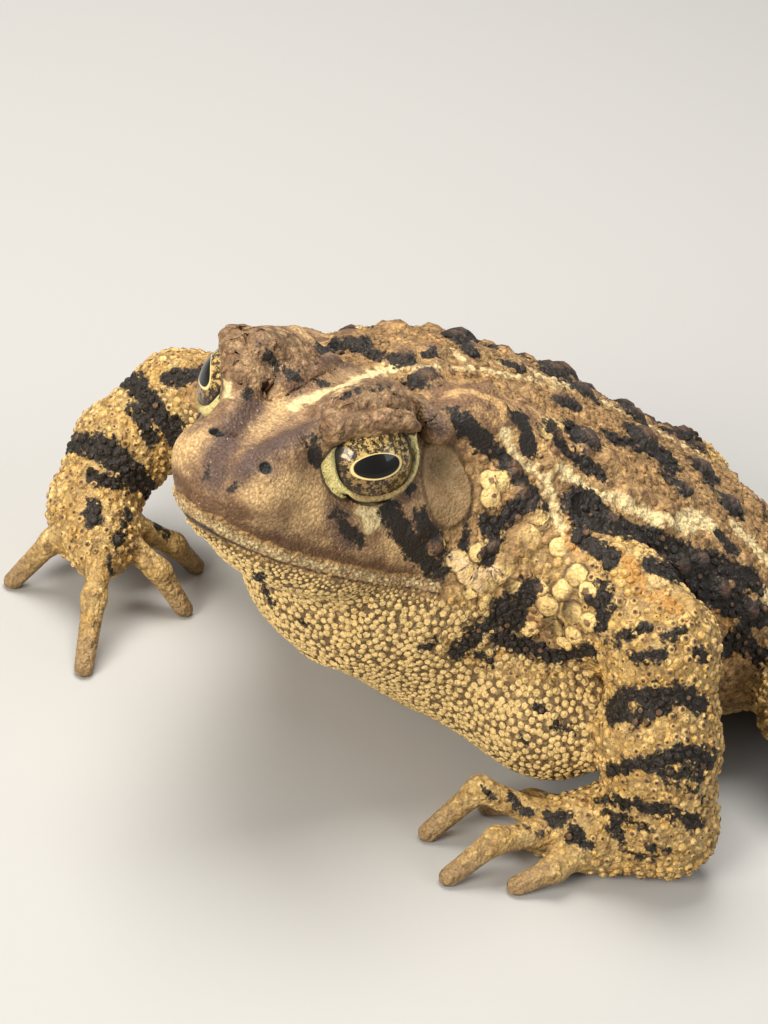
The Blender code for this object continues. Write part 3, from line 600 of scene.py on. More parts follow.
def toad_groups():
    """Every volume of the toad but its warts, in the order in which they are blended. The
    numbers are the blend within each and the blend to the rest."""
    groups = [
        Group([Trunk(TRUNK)], 0.0, 0.0),
        Group(throat_forms(), 4.0, 6.0),
        Group(head_forms(), 2.5, 3.0),
        Group(upper_lip(), 0.4, 1.2),
        Group(lower_lip(), 0.4, 0.8),
    ]
    for side, s in (("left", 1), ("right", -1)):
        groups += [
            Group(canthus(s), 1.0, 2.4),
            Group(crests(s), 0.5, 1.4),
            Group(brow(s), 0.6, BROW_BLEND[s]),
            Group(parotoid(s), 3.0, 2.2),
            Group(limb(ARMS[side]), 2.5, 4.0),
            Group(limb(PALMS[side]), 2.0, 2.0),
            Group(limb(LEGS[side]), 1.0, 2.5),
            Group(limb(FEET[side]), 2.0, 1.0),
        ]
        groups += [Group(digit(p, FINGER_RADIUS), 1.0, 1.2) for p in FINGERS[side]]
        groups += [Group(digit(p, TOE_RADIUS), 1.0, 0.8) for p in all_toes(side)]
    return groups


GROUPS = toad_groups()
WARTS = []
FOLDS = []
LID_RIMS = {s: Group(lid_rim(s), 0.0, 0.6) for s in (1, -1)}


def smooth_flesh(points):
    """Signed distance from the toad's skin without its folds and warts."""
    total = np.full(len(points), 99.0)
    for group in GROUPS:
        total = group.join(points, total)
    for s in (1, -1):
        near = np.linalg.norm(points - eye_centre(s), axis=1) < EYE_RADIUS + 6
        if not near.any():
            continue
        here, kept = points[near], total[near]
        kept = -smooth_min(-kept, Socket(s).distance(here), 0.5)
        kept = smooth_min(kept, distance_to(LID_RIMS[s].forms, here), LID_RIMS[s].outer)
        under = np.linalg.norm(here - eye_centre(s), axis=1) - EYE_RADIUS + 0.7
        total[near] = np.minimum(kept, under)
    for s in (1, -1):
        pit = nostril(s)
        near = np.linalg.norm(points - pit.b, axis=1) < 6
        if near.any():
            total[near] = -smooth_min(-total[near], pit.distance(points[near]), 0.4)
    return total


def carve(points, total):
    """total, with the folds of the skin pressed in."""
    for fold in FOLDS:
        near = np.all((points > fold.low - 1.5) & (points < fold.high + 1.5), 1)
        if near.any():
            groove = distance_to(fold.forms, points[near])
            total[near] = -smooth_min(-total[near], groove, 0.35)
    return total


def flesh(points):
    """Signed distance from the toad's skin with its folds and warts."""
    total = carve(points, smooth_flesh(points))
    order = np.argsort(points[:, 0])
    across = points[order, 0]
    for wart in WARTS:
        first, last = np.searchsorted(across, (wart.low[0] - 2.5, wart.high[0] + 2.5))
        some = order[first:last]
        if len(some):
            total[some] = wart.join(points[some], total[some])
    return total


def seen_spots(pixels):
    """Where the photograph's rays through some pixels meet the smooth skin."""
    ways = np.array([photo_ray(u, v) for u, v in pixels])
    spots = np.array(CAMERA_PLACE) + ways * 170
    for _ in range(140):
        spots = spots + ways * np.clip(smooth_flesh(spots), -1, 8)[:, None] * MARCH
    met = np.abs(smooth_flesh(spots)) < 0.1
    return spots[met], met


# How softly a wart meets the skin, as a share of its radius. The right half, which the
# photograph shows at a slant and out of focus, is softer.
LEFT_WART_BLEND, RIGHT_WART_BLEND = 0.45, 0.8


def raise_warts():
    """Fills WARTS with domes that stand on the smooth skin, and gives the coloured ones."""
    def seen(rows):
        spots, met = seen_spots([row[:2] for row in rows])
        return list(zip(spots, np.array([row[2] for row in rows])[met]))

    warts = seen(SEEN_WARTS)
    lumps = seen(LID_LUMPS)
    for spot, radius in list(warts):
        middle = along(TRUNK, spot[None, 1])[0][0]
        if spot[0] < middle + 4:
            continue
        start = other_side(spot[None])[0]
        inside = np.array([middle, spot[1], 20.0])
        twin = onto_skin(start + (start - inside) * 0.3, inside, smooth_flesh)[0]
        if all(np.linalg.norm(twin - c) > r + radius for c, r in warts):
            warts.append((twin, radius))
    photographed = [spot for spot, _ in warts]
    for spot, radius in back_warts(smooth_flesh):
        if np.linalg.norm(spot - photographed, axis=1).min() > 2.2 + radius:
            warts.append((spot, radius))
    for radius, *pixels in SEEN_FOLDS:
        spots = seen_spots(pixels)[0]
        path = [(spot + way * radius * 0.3, radius)
                for spot, way in zip(spots, slopes(spots, smooth_flesh)[1])]
        for a, b in zip(path, path[1:]):
            if np.linalg.norm(a[0] - b[0]) < LONGEST_FOLD_STEP:
                FOLDS.append(Group(rods(a, b), 0.0, 0.0))
    spots = np.array([spot for spot, _ in warts + lumps])
    outward = slopes(spots, smooth_flesh)[1]
    kinds = [LOW_WART] * len(warts) + [STEEP_LUMP] * len(lumps)
    for (spot, radius), way, kind in zip(warts + lumps, outward, kinds):
        blend = LEFT_WART_BLEND if spot[0] > HEAD_CENTRE[0] else RIGHT_WART_BLEND
        ball = wart_ball(spot, radius, -way, *kind)
        WARTS.append(Group([ball], 0.0, blend * radius))
    return [(spot, radius, way) for (spot, radius), way in zip(warts, outward)]


def slopes(points, skin=flesh, step=0.02):
    """How far the flesh is along its slope at each point, and the unit slope."""
    base = skin(points)
    grad = np.empty_like(points)
    for axis in range(3):
        moved = points.copy()
        moved[:, axis] += step
        grad[:, axis] = (skin(moved) - base) / step
    steep = np.maximum(np.linalg.norm(grad, axis=1), 0.35)
    return base / steep, grad / np.maximum(steep, 1e-9)[:, None]


def rough_union(voxel):
    """One closed mesh round every volume, made by a voxel remesh."""
    bm = bmesh.new()
    for group in GROUPS + list(LID_RIMS.values()):
        for form in group.forms:
            form.add_to(bm)
    mesh = bpy.data.meshes.new("rough_toad")
    bm.to_mesh(mesh)
    bm.free()
    rough = bpy.data.objects.new("rough_toad", mesh)
    bpy.context.scene.collection.objects.link(rough)
    remesh = rough.modifiers.new("fuse", "REMESH")
    remesh.mode = "VOXEL"
    remesh.voxel_size = voxel
    graph = bpy.context.evaluated_depsgraph_get()
    fused = bpy.data.meshes.new_from_object(rough.evaluated_get(graph))
    bpy.data.objects.remove(rough)
    bpy.data.meshes.remove(mesh)
    return fused


def vertex_places(mesh):
    places = np.empty(len(mesh.vertices) * 3, np.float32)
    mesh.vertices.foreach_get("co", places)
    return places.reshape(-1, 3).astype(float)


def set_places(mesh, places):
    mesh.vertices.foreach_set("co", places.astype(np.float32).ravel())
    mesh.update()


def neighbours_mean(mesh, places):
    edges = np.empty(len(mesh.edges) * 2, np.int32)
    mesh.edges.foreach_get("vertices", edges)
    here, there = edges.reshape(-1, 2).T
    here, there = np.append(here, there), np.append(there, here)
    count = np.maximum(np.bincount(here, minlength=len(places)), 1)
    total = [np.bincount(here, places[there, k], len(places)) / count for k in range(3)]
    return np.column_stack(total)


def draw_onto_flesh(mesh, rounds):
    """Slides the vertices evenly over the surface and pulls them onto the flesh."""
    places = vertex_places(mesh)
    for _ in range(rounds):
        mean = neighbours_mean(mesh, places)
        off, normal = slopes(places)
        slide = mean - places
        slide -= normal * (slide * normal).sum(1)[:, None]
        places = places + 0.5 * slide
        off, normal = slopes(places)
        places = places - normal * np.clip(off, -1.5, 1.5)[:, None]
    set_places(mesh, places)


def as_object(name, mesh):
    made = bpy.data.objects.new(name, mesh)
    bpy.context.scene.collection.objects.link(made)
    return made


def settle(thing):
    """Bakes the modifiers of an object into its mesh."""
    graph = bpy.context.evaluated_depsgraph_get()
    graph.update()
    mesh = bpy.data.meshes.new_from_object(thing.evaluated_get(graph))
    old = thing.data
    thing.modifiers.clear()
    thing.data = mesh
    bpy.data.meshes.remove(old)


# How finely the skin is drawn, and how far it is thinned again
SKIN_VOXEL = 0.32
SKIN_TRIANGLES = 192000
SKIN_ROUNDS = 3

# Warts that the photograph shows on the nape and back: the pixel of the top, and the radius
SEEN_WARTS = [
    (350, 344, 2.3), (402, 357, 1.9), (428, 354, 1.8), (425, 380, 2.0), (437, 369, 1.4),
    (262, 346, 1.2), (322, 378, 1.3), (455, 340, 1.7), (473, 353, 1.6), (517, 368, 1.5),
    (551, 373, 2.0), (581, 393, 1.7), (561, 400, 1.5), (573, 405, 1.4), (529, 395, 1.4),
    (616, 401, 2.2), (633, 417, 1.7), (643, 440, 2.2), (586, 440, 1.9), (608, 459, 1.6),
    (552, 424, 1.5), (556, 436, 1.2), (584, 453, 1.2), (684, 436, 1.9), (667, 433, 1.3),
    (701, 470, 1.8), (730, 506, 1.7), (685, 489, 1.6), (710, 490, 1.0), (586, 508, 2.0),
    (664, 524, 1.6), (666, 509, 1.5), (609, 520, 1.3), (628, 495, 1.2), (641, 496, 1.2),
    (709, 537, 1.0), (745, 562, 1.3), (755, 508, 1.6), (722, 465, 1.4), (745, 478, 1.2),
    (700, 432, 1.3), (655, 424, 1.4), (627, 389, 1.6), (602, 382, 1.3), (748, 530, 1.2),
    (616, 549, 1.1), (680, 565, 1.5), (600, 546, 1.2), (640, 540, 1.5), (700, 560, 1.4),
    (655, 580, 1.3), (722, 590, 1.4), (690, 600, 1.3), (750, 610, 1.4), (560, 548, 1.2),
    (525, 540, 1.8), (512, 470, 1.4), (520, 492, 1.4), (498, 482, 1.2), (535, 508, 1.6),
    (540, 520, 1.2), (551, 465, 1.5), (545, 430, 1.3), (457, 560, 1.3), (468, 573, 1.3),
    (483, 580, 1.7), (497, 574, 1.2), (420, 531, 1.4), (435, 546, 1.2), (505, 563, 1.4),
    (490, 498, 1.2), (488, 480, 1.1), (577, 575, 1.3), (548, 604, 1.3), (573, 612, 1.3),
    (555, 625, 1.3), (575, 635, 1.2), (530, 628, 1.1), (492, 545, 1.1), (478, 552, 1.1),
    (563, 590, 1.2), (588, 592, 1.1), (565, 642, 1.0),
    (590, 622, 1.1), (540, 588, 1.0), (484, 600, 0.9), (470, 592, 0.9), (512, 586, 1.0),
]

# Lumps of the eyelids and of the ridges round them, in the same way
LID_LUMPS = [
    (336, 424, 1.6), (345, 402, 1.1), (356, 396, 1.2), (369, 392, 1.1), (382, 394, 1.2),
    (395, 392, 1.0), (364, 402, 0.9), (378, 403, 1.0), (391, 402, 1.0), (404, 400, 1.0),
    (412, 407, 1.0), (399, 410, 0.8), (349, 410, 0.9), (329, 414, 0.7),
    (230, 336, 1.1), (243, 330, 1.0), (255, 336, 1.0), (266, 340, 1.0), (248, 345, 1.0),
    (236, 350, 1.0), (260, 352, 1.0), (228, 362, 1.0), (250, 364, 1.0), (240, 376, 1.0),
    (262, 376, 1.0), (270, 388, 0.9), (254, 388, 0.8), (232, 374, 0.8), (276, 350, 0.9),
    (437, 429, 1.5), (428, 415, 1.1), (447, 436, 1.0), (434, 442, 0.8), (311, 350, 1.0),
    (424, 398, 0.9), (420, 422, 0.8), (443, 420, 0.8),
]

# Folds of the skin: the groove's radius, and the pixels that it runs through. A step longer
# than this, in millimetres, jumps from one part of the toad to another and is left out.
LONGEST_FOLD_STEP = 4.5
SEEN_FOLDS = [
    (0.42, (328, 426), (334, 417), (346, 411), (358, 409), (374, 408), (392, 407), (410, 408)),
    (0.40, (352, 401), (366, 399), (380, 402)),
    (0.45, (324, 466), (330, 482), (340, 494), (355, 503), (374, 507), (392, 504), (406, 494)),
    (0.40, (332, 496), (346, 508), (364, 514), (384, 514), (398, 508)),
    (0.40, (408, 484), (414, 472), (420, 456)),
    (0.40, (304, 432), (310, 446), (313, 462)),
    (0.35, (249, 476), (256, 484), (268, 490)),
    (0.35, (246, 484), (254, 494), (266, 500)),
]

# Markings by the pixels that the photograph shows them at. Each is a half width in pixels,
# and then the places that its middle line runs through.
DARK_MARKS = [
    (11, (322, 348), (351, 343), (378, 356)),
    (12, (401, 357), (408, 361)),
    (9, (426, 355), (434, 352)),
    (11, (414, 382), (433, 372)),
    (7, (320, 384), (326, 381)),
    (5, (336, 398), (366, 388), (390, 386)),
    (7, (260, 347), (276, 366), (296, 376)),
    (7, (245, 396), (251, 389)),
    (4, (206, 472), (210, 477)),
    (4, (231, 489), (237, 487)),
    (9, (313, 440), (316, 452), (317, 462)),
    (7, (335, 515), (346, 528), (360, 545)),
    (14, (390, 512), (400, 532), (414, 548)),
    (12, (414, 548), (426, 560), (437, 570)),
    (10, (420, 516), (434, 532), (442, 552)),
    (8, (403, 492), (409, 487)),
    (5, (469, 511), (464, 530), (462, 548)),
    (12, (456, 416), (474, 434), (495, 452)),
    (11, (495, 452), (514, 470), (532, 490), (542, 504)),
    (13, (521, 418), (526, 430), (528, 446)),
    (7, (508, 409), (514, 416)),
    (11, (500, 522), (513, 511), (527, 500)),
    (11, (486, 524), (494, 541), (487, 558)),
    (10, (455, 336), (474, 353)),
    (9, (507, 364), (521, 371)),
    (11, (549, 371), (556, 376)),
    (10, (561, 399), (575, 405)),
    (11, (612, 400), (622, 403)),
    (11, (630, 417), (646, 425)),
    (10, (665, 432), (688, 441)),
    (13, (611, 437), (630, 445), (658, 452), (668, 470)),
    (10, (551, 423), (560, 438), (568, 453)),
    (10, (568, 453), (588, 466), (602, 474)),
    (9, (667, 477), (689, 490)),
    (8, (704, 469), (711, 486)),
    (11, (727, 503), (735, 512)),
    (9, (752, 478), (758, 495), (765, 512)),
    (13, (570, 500), (596, 512), (624, 526)),
    (16, (612, 522), (648, 540), (690, 556)),
    (16, (680, 556), (716, 564), (755, 582)),
    (12, (580, 536), (596, 546), (611, 562)),
    (17, (654, 566), (690, 582), (726, 598)),
    (16, (726, 598), (762, 618)),
    (10, (720, 535), (733, 550)),
    (12, (745, 628), (722, 652)),
    (11, (742, 640), (760, 655)),
    (10, (603, 586), (607, 604), (601, 625)),
    (9, (592, 600), (606, 612)),
    (12, (533, 586), (514, 609), (480, 628), (459, 652)),
    (13, (500, 604), (514, 616), (506, 634)),
    (11, (500, 640), (529, 646), (556, 656), (592, 650)),
    (6, (640, 800), (672, 810), (700, 826)),
    (5, (622, 846), (644, 858), (668, 852)),
    (4, (668, 782), (690, 788), (704, 796)),
    (4, (604, 812), (628, 818), (650, 830)),
    (6, (556, 822), (566, 836), (590, 846)),
    (5, (524, 826), (540, 832)),
    (7, (480, 655), (489, 660)),
    (6, (424, 648), (436, 643)),
    (8, (258, 574), (265, 588), (272, 602)),
    (5, (300, 620), (304, 624)),
    (5, (536, 707), (541, 711)),
    (6, (560, 727), (567, 730)),
    (4, (521, 739), (524, 741)),
    (7, (607, 644), (626, 634), (645, 627)),
    (7, (664, 636), (684, 632)),
    (8, (634, 658), (650, 655), (664, 653)),
    (8, (699, 652), (706, 655)),
    (10, (609, 704), (634, 695), (652, 690)),
    (12, (640, 698), (668, 692), (690, 696), (703, 706)),
    (9, (610, 716), (640, 715), (662, 708)),
    (9, (601, 774), (630, 766), (657, 760)),
    (12, (650, 764), (682, 753), (712, 760)),
    (9, (664, 772), (700, 776)),
    (8, (600, 800), (634, 804), (664, 812)),
    (9, (656, 808), (680, 816), (694, 823)),
    (8, (614, 824), (622, 836)),
    (5, (646, 846), (656, 849)),
    (8, (549, 814), (564, 816)),
    (7, (511, 799), (529, 814)),
    (6, (484, 791), (491, 796)),
    (7, (570, 829), (582, 834)),
    (11, (168, 378), (184, 376), (198, 372)),
    (9, (132, 407), (143, 418), (152, 440)),
    (9, (99, 437), (112, 448), (124, 460)),
    (9, (124, 460), (134, 482)),
    (8, (92, 477), (118, 483), (148, 487)),
    (10, (92, 506), (94, 520)),
    (6, (129, 512), (118, 542)),
    (8, (152, 514), (157, 524)),
    (5, (165, 531), (168, 537)),
    (5, (108, 560), (112, 576)),
]
PALE_MARKS = [
    (6, (505, 434), (513, 450), (522, 462), (545, 476)),
    (7, (545, 476), (549, 492), (553, 508)),
    (6, (553, 508), (558, 524), (566, 534)),
    (8, (296, 405), (323, 393), (356, 380), (388, 369), (412, 364)),
    (4, (400, 370), (440, 366), (480, 370), (520, 378), (560, 388)),
    (8, (562, 470), (590, 492), (620, 500), (655, 518), (678, 526)),
    (13, (680, 522), (700, 520), (714, 530)),
    (10, (738, 530), (752, 545), (766, 560)),
    (5, (226, 384), (230, 396)),
    (8, (362, 514), (371, 524)),
    (7, (372, 512), (378, 518)),
    (6, (452, 350), (462, 360)),
    (6, (560, 383), (572, 388)),
    (7, (764, 590), (768, 610)),
]
PINK_MARKS = [
    (9, (456, 559), (460, 564)),
    (9, (470, 575), (482, 582)),
    (7, (494, 574), (499, 570)),
    (6, (430, 578), (440, 582)),
]
ORANGE_MARKS = [
    (11, (614, 549), (628, 562), (638, 580)),
    (9, (715, 596), (728, 620), (738, 650)),
    (6, (470, 633), (480, 626), (489, 617)),
    (5, (500, 655), (506, 648)),
    (8, (560, 525), (572, 545)),
    (9, (655, 596), (676, 606)),
]

# Broad tones of the head, in the same way
HEAD_TONES = {
    "purple": [
        (13, (321, 421), (289, 434), (258, 454), (241, 471)),
        (13, (254, 406), (232, 430), (219, 452), (215, 478)),
        (6, (265, 466), (269, 470)),
        (6, (315, 415), (336, 395), (367, 385), (391, 385)),
        (10, (425, 413), (441, 430)),
        (7, (295, 387), (308, 367), (334, 358), (349, 365)),
        (7, (274, 536), (283, 540)),
        (8, (334, 510), (350, 545)),
    ],
    "gold": [
        (30, (560, 590), (572, 625)),
        (12, (455, 600), (490, 596)),
        (12, (530, 556), (556, 556)),
        (10, (440, 640), (500, 670), (560, 676)),
    ],
    "rust": [
        (8, (176, 478), (198, 500), (215, 515), (243, 530), (271, 541), (302, 549),
         (334, 558), (367, 567), (410, 577)),
        (7, (420, 529), (432, 544)),
        (5, (398, 494), (414, 480), (424, 466)),
    ],
    "sand": [
        (12, (200, 438), (182, 447)),
        (8, (280, 404), (271, 417), (250, 428)),
        (13, (254, 491), (289, 489), (312, 500)),
        (9, (302, 517), (318, 512)),
        (10, (392, 541), (402, 552)),
        (9, (289, 339), (319, 332), (354, 330)),
        (8, (292, 356), (300, 350)),
        (12, (430, 393), (447, 387)),
    ],
}

# Tones, as linear colours
BLACK_BROWN = (0.018, 0.012, 0.007)
BROWN_TIP = (0.155, 0.078, 0.036)
WART_GREY = (0.085, 0.055, 0.042)
BACK_TAN = (0.50, 0.285, 0.105)
BACK_PEACH = (0.64, 0.385, 0.150)
BACK_OLIVE = (0.23, 0.130, 0.050)
HEAD_BROWN = (0.20, 0.105, 0.050)
HEAD_TAN = (0.40, 0.245, 0.115)
HEAD_PURPLE = (0.090, 0.050, 0.038)
SAND_TAN = (0.62, 0.395, 0.175)
LIP_RUST = (0.100, 0.042, 0.014)
LIMB_GOLD = (0.62, 0.375, 0.105)
LIMB_PALE = (0.76, 0.52, 0.20)
BELLY_CREAM = (0.66, 0.465, 0.19)
# Dark brown: the skin's own mottling and pores, and also painted shade in the creases between
# grains, round the feet of warts and round the ear drums
DARK_BROWN_AND_CREVICE_SHADE = (0.095, 0.054, 0.020)
# Painted shade on the skin between the throat pebbles and round their feet
PEBBLE_GAP_SHADE = (0.30, 0.195, 0.080)
STRIPE_CREAM = (0.72, 0.56, 0.28)
PINK_CREAM = (0.66, 0.46, 0.25)
RUST_ORANGE = (0.46, 0.23, 0.055)
DRUM_OLIVE = (0.30, 0.195, 0.085)
RIM_YELLOW = (0.60, 0.51, 0.20)
TIP_BROWN = (0.27, 0.17, 0.078)

# The value that a zone's field has well outside the zone
FAR = 6.0
# How far back the mouth line and the lip run, in the head's frame
MOUTH_REAR, LIP_REAR = 8.6, 8.5
# The pale beads of the shoulders are the warts below this size and before this y
BEAD_RADIUS, BEAD_REAR = 1.35, 2


def photo_ray(u, v):
    """The unit way from the camera through a pixel of the photograph."""
    right, up = np.array(CAMERA_RIGHT), np.array(CAMERA_UP)
    across = (u - PHOTO_WIDTH / 2) / FOCAL_PIXELS
    down = (v - PHOTO_HEIGHT / 2) / FOCAL_PIXELS
    way = right * across - up * down - np.cross(right, up)
    return way / np.linalg.norm(way)


def tree_of(mesh):
    """A search tree of a mesh's triangles."""
    mesh.calc_loop_triangles()
    corners = np.empty(len(mesh.loop_triangles) * 3, np.int32)
    mesh.loop_triangles.foreach_get("vertices", corners)
    places = vertex_places(mesh)
    return BVHTree.FromPolygons(places.tolist(), corners.reshape(-1, 3).tolist())


def seen_place(tree, u, v):
    """Where the photograph's ray through a pixel meets the toad, or None beside it."""
    hit = tree.ray_cast(Vector(CAMERA_PLACE), Vector(photo_ray(u, v)))[0]
    return None if hit is None else np.array(hit)


def chain_on_skin(tree, mark, step=7.0):
    """A marking's middle line on the toad, and its half width in millimetres."""
    half, *pixels = mark
    line = []
    for a, b in zip(pixels, pixels[1:]):
        count = max(1, round(math.dist(a, b) / step))
        line += [(a[0] + (b[0] - a[0]) * k / count, a[1] + (b[1] - a[1]) * k / count)
                 for k in range(count)]
    places = [seen_place(tree, u, v) for u, v in line + [pixels[-1]]]
    places = [p for p in places if p is not None]
    if not places:
        return None
    depth = np.linalg.norm(np.array(CAMERA_PLACE) - places[0])
    return half * depth / FOCAL_PIXELS, np.array(places)


def other_side(places):
    """Places on the right half of the trunk or head that mirror those on the left."""
    turned_to_head = (places - HEAD_CENTRE) @ HEAD_AXES
    if turned_to_head[:, 1].mean() < 12:
        turned_to_head[:, 0] *= -1
        return HEAD_CENTRE + turned_to_head @ HEAD_AXES.T
    flipped = places.copy()
    middle = along(TRUNK, places[:, 1])[:, 0]
    flipped[:, 0] = 2 * middle - places[:, 0]
    return flipped


def chain_distance(points, chains, reach=FAR):
    """Signed distance from points to the nearest of some markings, at most reach."""
    total = np.full(len(points), reach)
    for half, line in chains:
        low, high = line.min(0) - half - reach, line.max(0) + half + reach
        near = np.flatnonzero(np.all((points > low) & (points < high), 1))
        if not len(near):
            continue
        here = points[near]
        best = np.full(len(near), 1e9)
        ends = line if len(line) > 1 else np.vstack([line, line + 1e-3])
        for a, b in zip(ends, ends[1:]):
            way = b - a
            share = np.clip((here - a) @ way / max(way @ way, 1e-9), 0, 1)
            best = np.minimum(best, np.linalg.norm(here - a - share[:, None] * way, axis=1))
        total[near] = np.minimum(total[near], best - half)
    return total


def fine_skin():
    """The whole toad as one closed, finely drawn surface. It is thinned out again, mostly
    at the hidden rear of the toad and on its resting flats."""
    mesh = rough_union(SKIN_VOXEL)
    draw_onto_flesh(mesh, SKIN_ROUNDS)
    places = vertex_places(mesh)
    skin = as_object("toad_skin", mesh)
    hidden = np.clip((places[:, 1] - 19) / 12, 0, 1)
    hidden = np.maximum(hidden, np.clip(0.8 - places[:, 2], 0, 1))
    loose = skin.vertex_groups.new(name="loose")
    for level in range(6):
        chosen = np.flatnonzero(np.round(hidden * 5) == level)
        loose.add(chosen.tolist(), 0.12 + 0.176 * level, "REPLACE")
    shrink = skin.modifiers.new("thin_out", "DECIMATE")
    shrink.vertex_group = "loose"
    skin.data.calc_loop_triangles()
    shrink.ratio = SKIN_TRIANGLES / len(skin.data.loop_triangles)
    settle(skin)
    skin.vertex_groups.clear()
    places = vertex_places(skin.data)
    places[:, 2] = np.maximum(places[:, 2], 0.0)
    set_places(skin.data, places)
    skin.data.shade_smooth()
    return skin


def smoothstep(low, high, value):
    t = np.clip((value - low) / (high - low), 0, 1)
    return t * t * (3 - 2 * t)


def seeded_blotches(warts):
    """Dark blotches round the larger warts behind the shoulders."""
    dice = random.Random(11)
    found = []
    for spot, radius, _ in warts:
        if radius < 1.7 or spot[1] < -6:
            continue
        way = np.array([dice.uniform(-1, 1), dice.uniform(-1, 1), 0])
        line = np.array([spot, spot + way * dice.uniform(1, 3)])
        found.append((radius * dice.uniform(1.15, 1.6), line))
    return found


def limb_bands(stations, every, half, start):
    """Dark rings round a limb, each as its middle, the limb's way, half the ring's width and
    the limb's radius there. They repeat after every so many millimetres from start."""
    found = []
    for (a, ra), (b, rb) in zip(stations, stations[1:]):
        a, b = np.array(a, float), np.array(b, float)
        length = np.linalg.norm(b - a)
        place = start
        while place < length:
            share = place / length
            found.append((a + (b - a) * share, (b - a) / length, half, ra + (rb - ra) * share))
            place += every
    return found


def band_distance(points, bands):
    """Signed distance to slabs that cross a limb, near that limb only."""
    total = np.full(len(points), FAR)
    for centre, way, half, radius in bands:
        off = points - centre
        along_limb = np.abs(off @ way) - half
        beside = np.linalg.norm(off - (off @ way)[:, None] * way, axis=1) - radius - 2.5
        total = np.minimum(total, np.maximum(along_limb, beside))
    return total


def write_field(mesh, name, values):
    field = mesh.attributes.get(name) or mesh.attributes.new(name, "FLOAT", "POINT")
    field.data.foreach_set("value", np.asarray(values, np.float32))


def drum_distance(s, points):
    """How far points lie outside the rim of an ear drum."""
    centre = in_head(s * 13.7, 8.3, -1.8)
    local = (points - centre) @ turned(0, s * -18)
    ring = (np.hypot(local[:, 1] / 2.7, local[:, 2] / 3.6) - 1) * 3.0
    return np.where(np.abs(local[:, 0]) < 4, ring, FAR)


def chains_on(tree, marks):
    """The markings that the photograph's rays find on the toad."""
    return [c for c in (chain_on_skin(tree, m) for m in marks) if c is not None]


def left_of_spine(line):
    return line[:, 0].mean() > along(TRUNK, line[:, 1])[:, 0].mean() + 3


def left_on_head(line):
    """How far a marking lies to the left of the head's middle."""
    return ((line - HEAD_CENTRE) @ HEAD_AXES)[:, 0].mean()


def pale_stripes():
    """The stripe down the spine, and one along each hind flank."""
    spine = []
    for y in np.arange(2, 44, 3.0):
        middle, _, _, top, _ = along(TRUNK, y)[0]
        spine.append((middle, y, top))
    found = [(0.8, np.array(spine))]
    for s in (1, -1):
        flank = []
        for y in np.arange(26, 42, 3.0):
            middle, half, widest, top, _ = along(TRUNK, y)[0]
            flank.append((middle + s * half * 0.78, y, widest + 0.62 * (top - widest)))
        found.append((0.9, np.array(flank)))
    return found


def all_bands():
    """The dark bands across the hind legs, feet and toes, and across the right arm."""
    bands = []
    for side in ("left", "right"):
        bands += limb_bands(LEGS[side][:2], 9.0, 1.7, 7.0)
        bands += limb_bands(LEGS[side][1:], 7.5, 1.5, 4.0)
        bands += limb_bands(FEET[side], 5.0, 1.2, 2.0)
        for toe in all_toes(side):
            bands += limb_bands([(p, TOE_RADIUS) for p in toe], 4.5, 0.9, 2.6)
    return bands + limb_bands(ARMS["right"][1:], 6.5, 1.4, 3.0)


def mark_blotches(mesh, points, tree, warts):
    """The markings of the back, flanks and limbs. Those of the left side are repeated on the
    right one, which the photograph doesn't show."""
    kinds = {
        "dark": DARK_MARKS, "pale": PALE_MARKS, "orange": ORANGE_MARKS, "pink": PINK_MARKS,
    }
    marks = {name: chains_on(tree, rows) for name, rows in kinds.items()}
    for name, chains in marks.items():
        for half, line in list(chains):
            if name == "dark":
                repeated = line[:, 1].min() > -24 and line[:, 2].min() > 10
            else:
                repeated = left_on_head(line) > 3.5
            if repeated and left_of_spine(line):
                chains.append((half, other_side(line)))
    marks["dark"] += seeded_blotches(warts)
    marks["pale"] += pale_stripes()
    for name, chains in marks.items():
        off = chain_distance(points, chains)
        if name == "dark":
            off = np.minimum(off, band_distance(points, all_bands()))
        write_field(mesh, name, off)


def over_mouth(points):
    """Points in the head's frame, and how high each lies over the mouth line."""
    local = (points - HEAD_CENTRE) @ HEAD_AXES
    line = np.array(MOUTH)
    mouth_z = np.interp(local[:, 1], line[:, 1], line[:, 2])
    return local, local[:, 2] - right_lift(local[:, 0]) - mouth_z


def mark_head(mesh, points, tree):
    """The zones and tones of the head: its bare skin, lips, lids and nostrils. The material paints
    the mouth line and the nostril pits black, as painted shade.
    """
    local, over = over_mouth(points)
    across, y = np.abs(local[:, 0]), local[:, 1]
    in_front = 10.5 - y - np.maximum(0, across - 9) * 0.5
    write_field(mesh, "head", np.minimum(np.minimum(over - 1.6, in_front), FAR))
    write_field(mesh, "lip", np.where(y < LIP_REAR, np.abs(over - 0.65) - 0.55, FAR))
    # A thin line along the mouth, which the material paints black as painted shade in the slit
    write_field(mesh, "mouth", np.where(y < MOUTH_REAR, np.abs(over + 0.1) - 0.12, FAR))
    for name, tones in HEAD_TONES.items():
        chains = chains_on(tree, tones)
        chains += [(half, other_side(line)) for half, line in chains if left_on_head(line) > 4]
        write_field(mesh, name, chain_distance(points, chains))
    # The nostril pits, which the material paints black as painted shade
    pits = np.min([nostril(s).distance(points) for s in (1, -1)], 0)
    write_field(mesh, "pit", np.clip(pits, -2, FAR))
    lids = np.min([distance_to([lid_pad(s)] + brow(s), points) for s in (1, -1)], 0)
    write_field(mesh, "lid", np.where(local[:, 2] > 1.5, lids - 0.6, FAR))


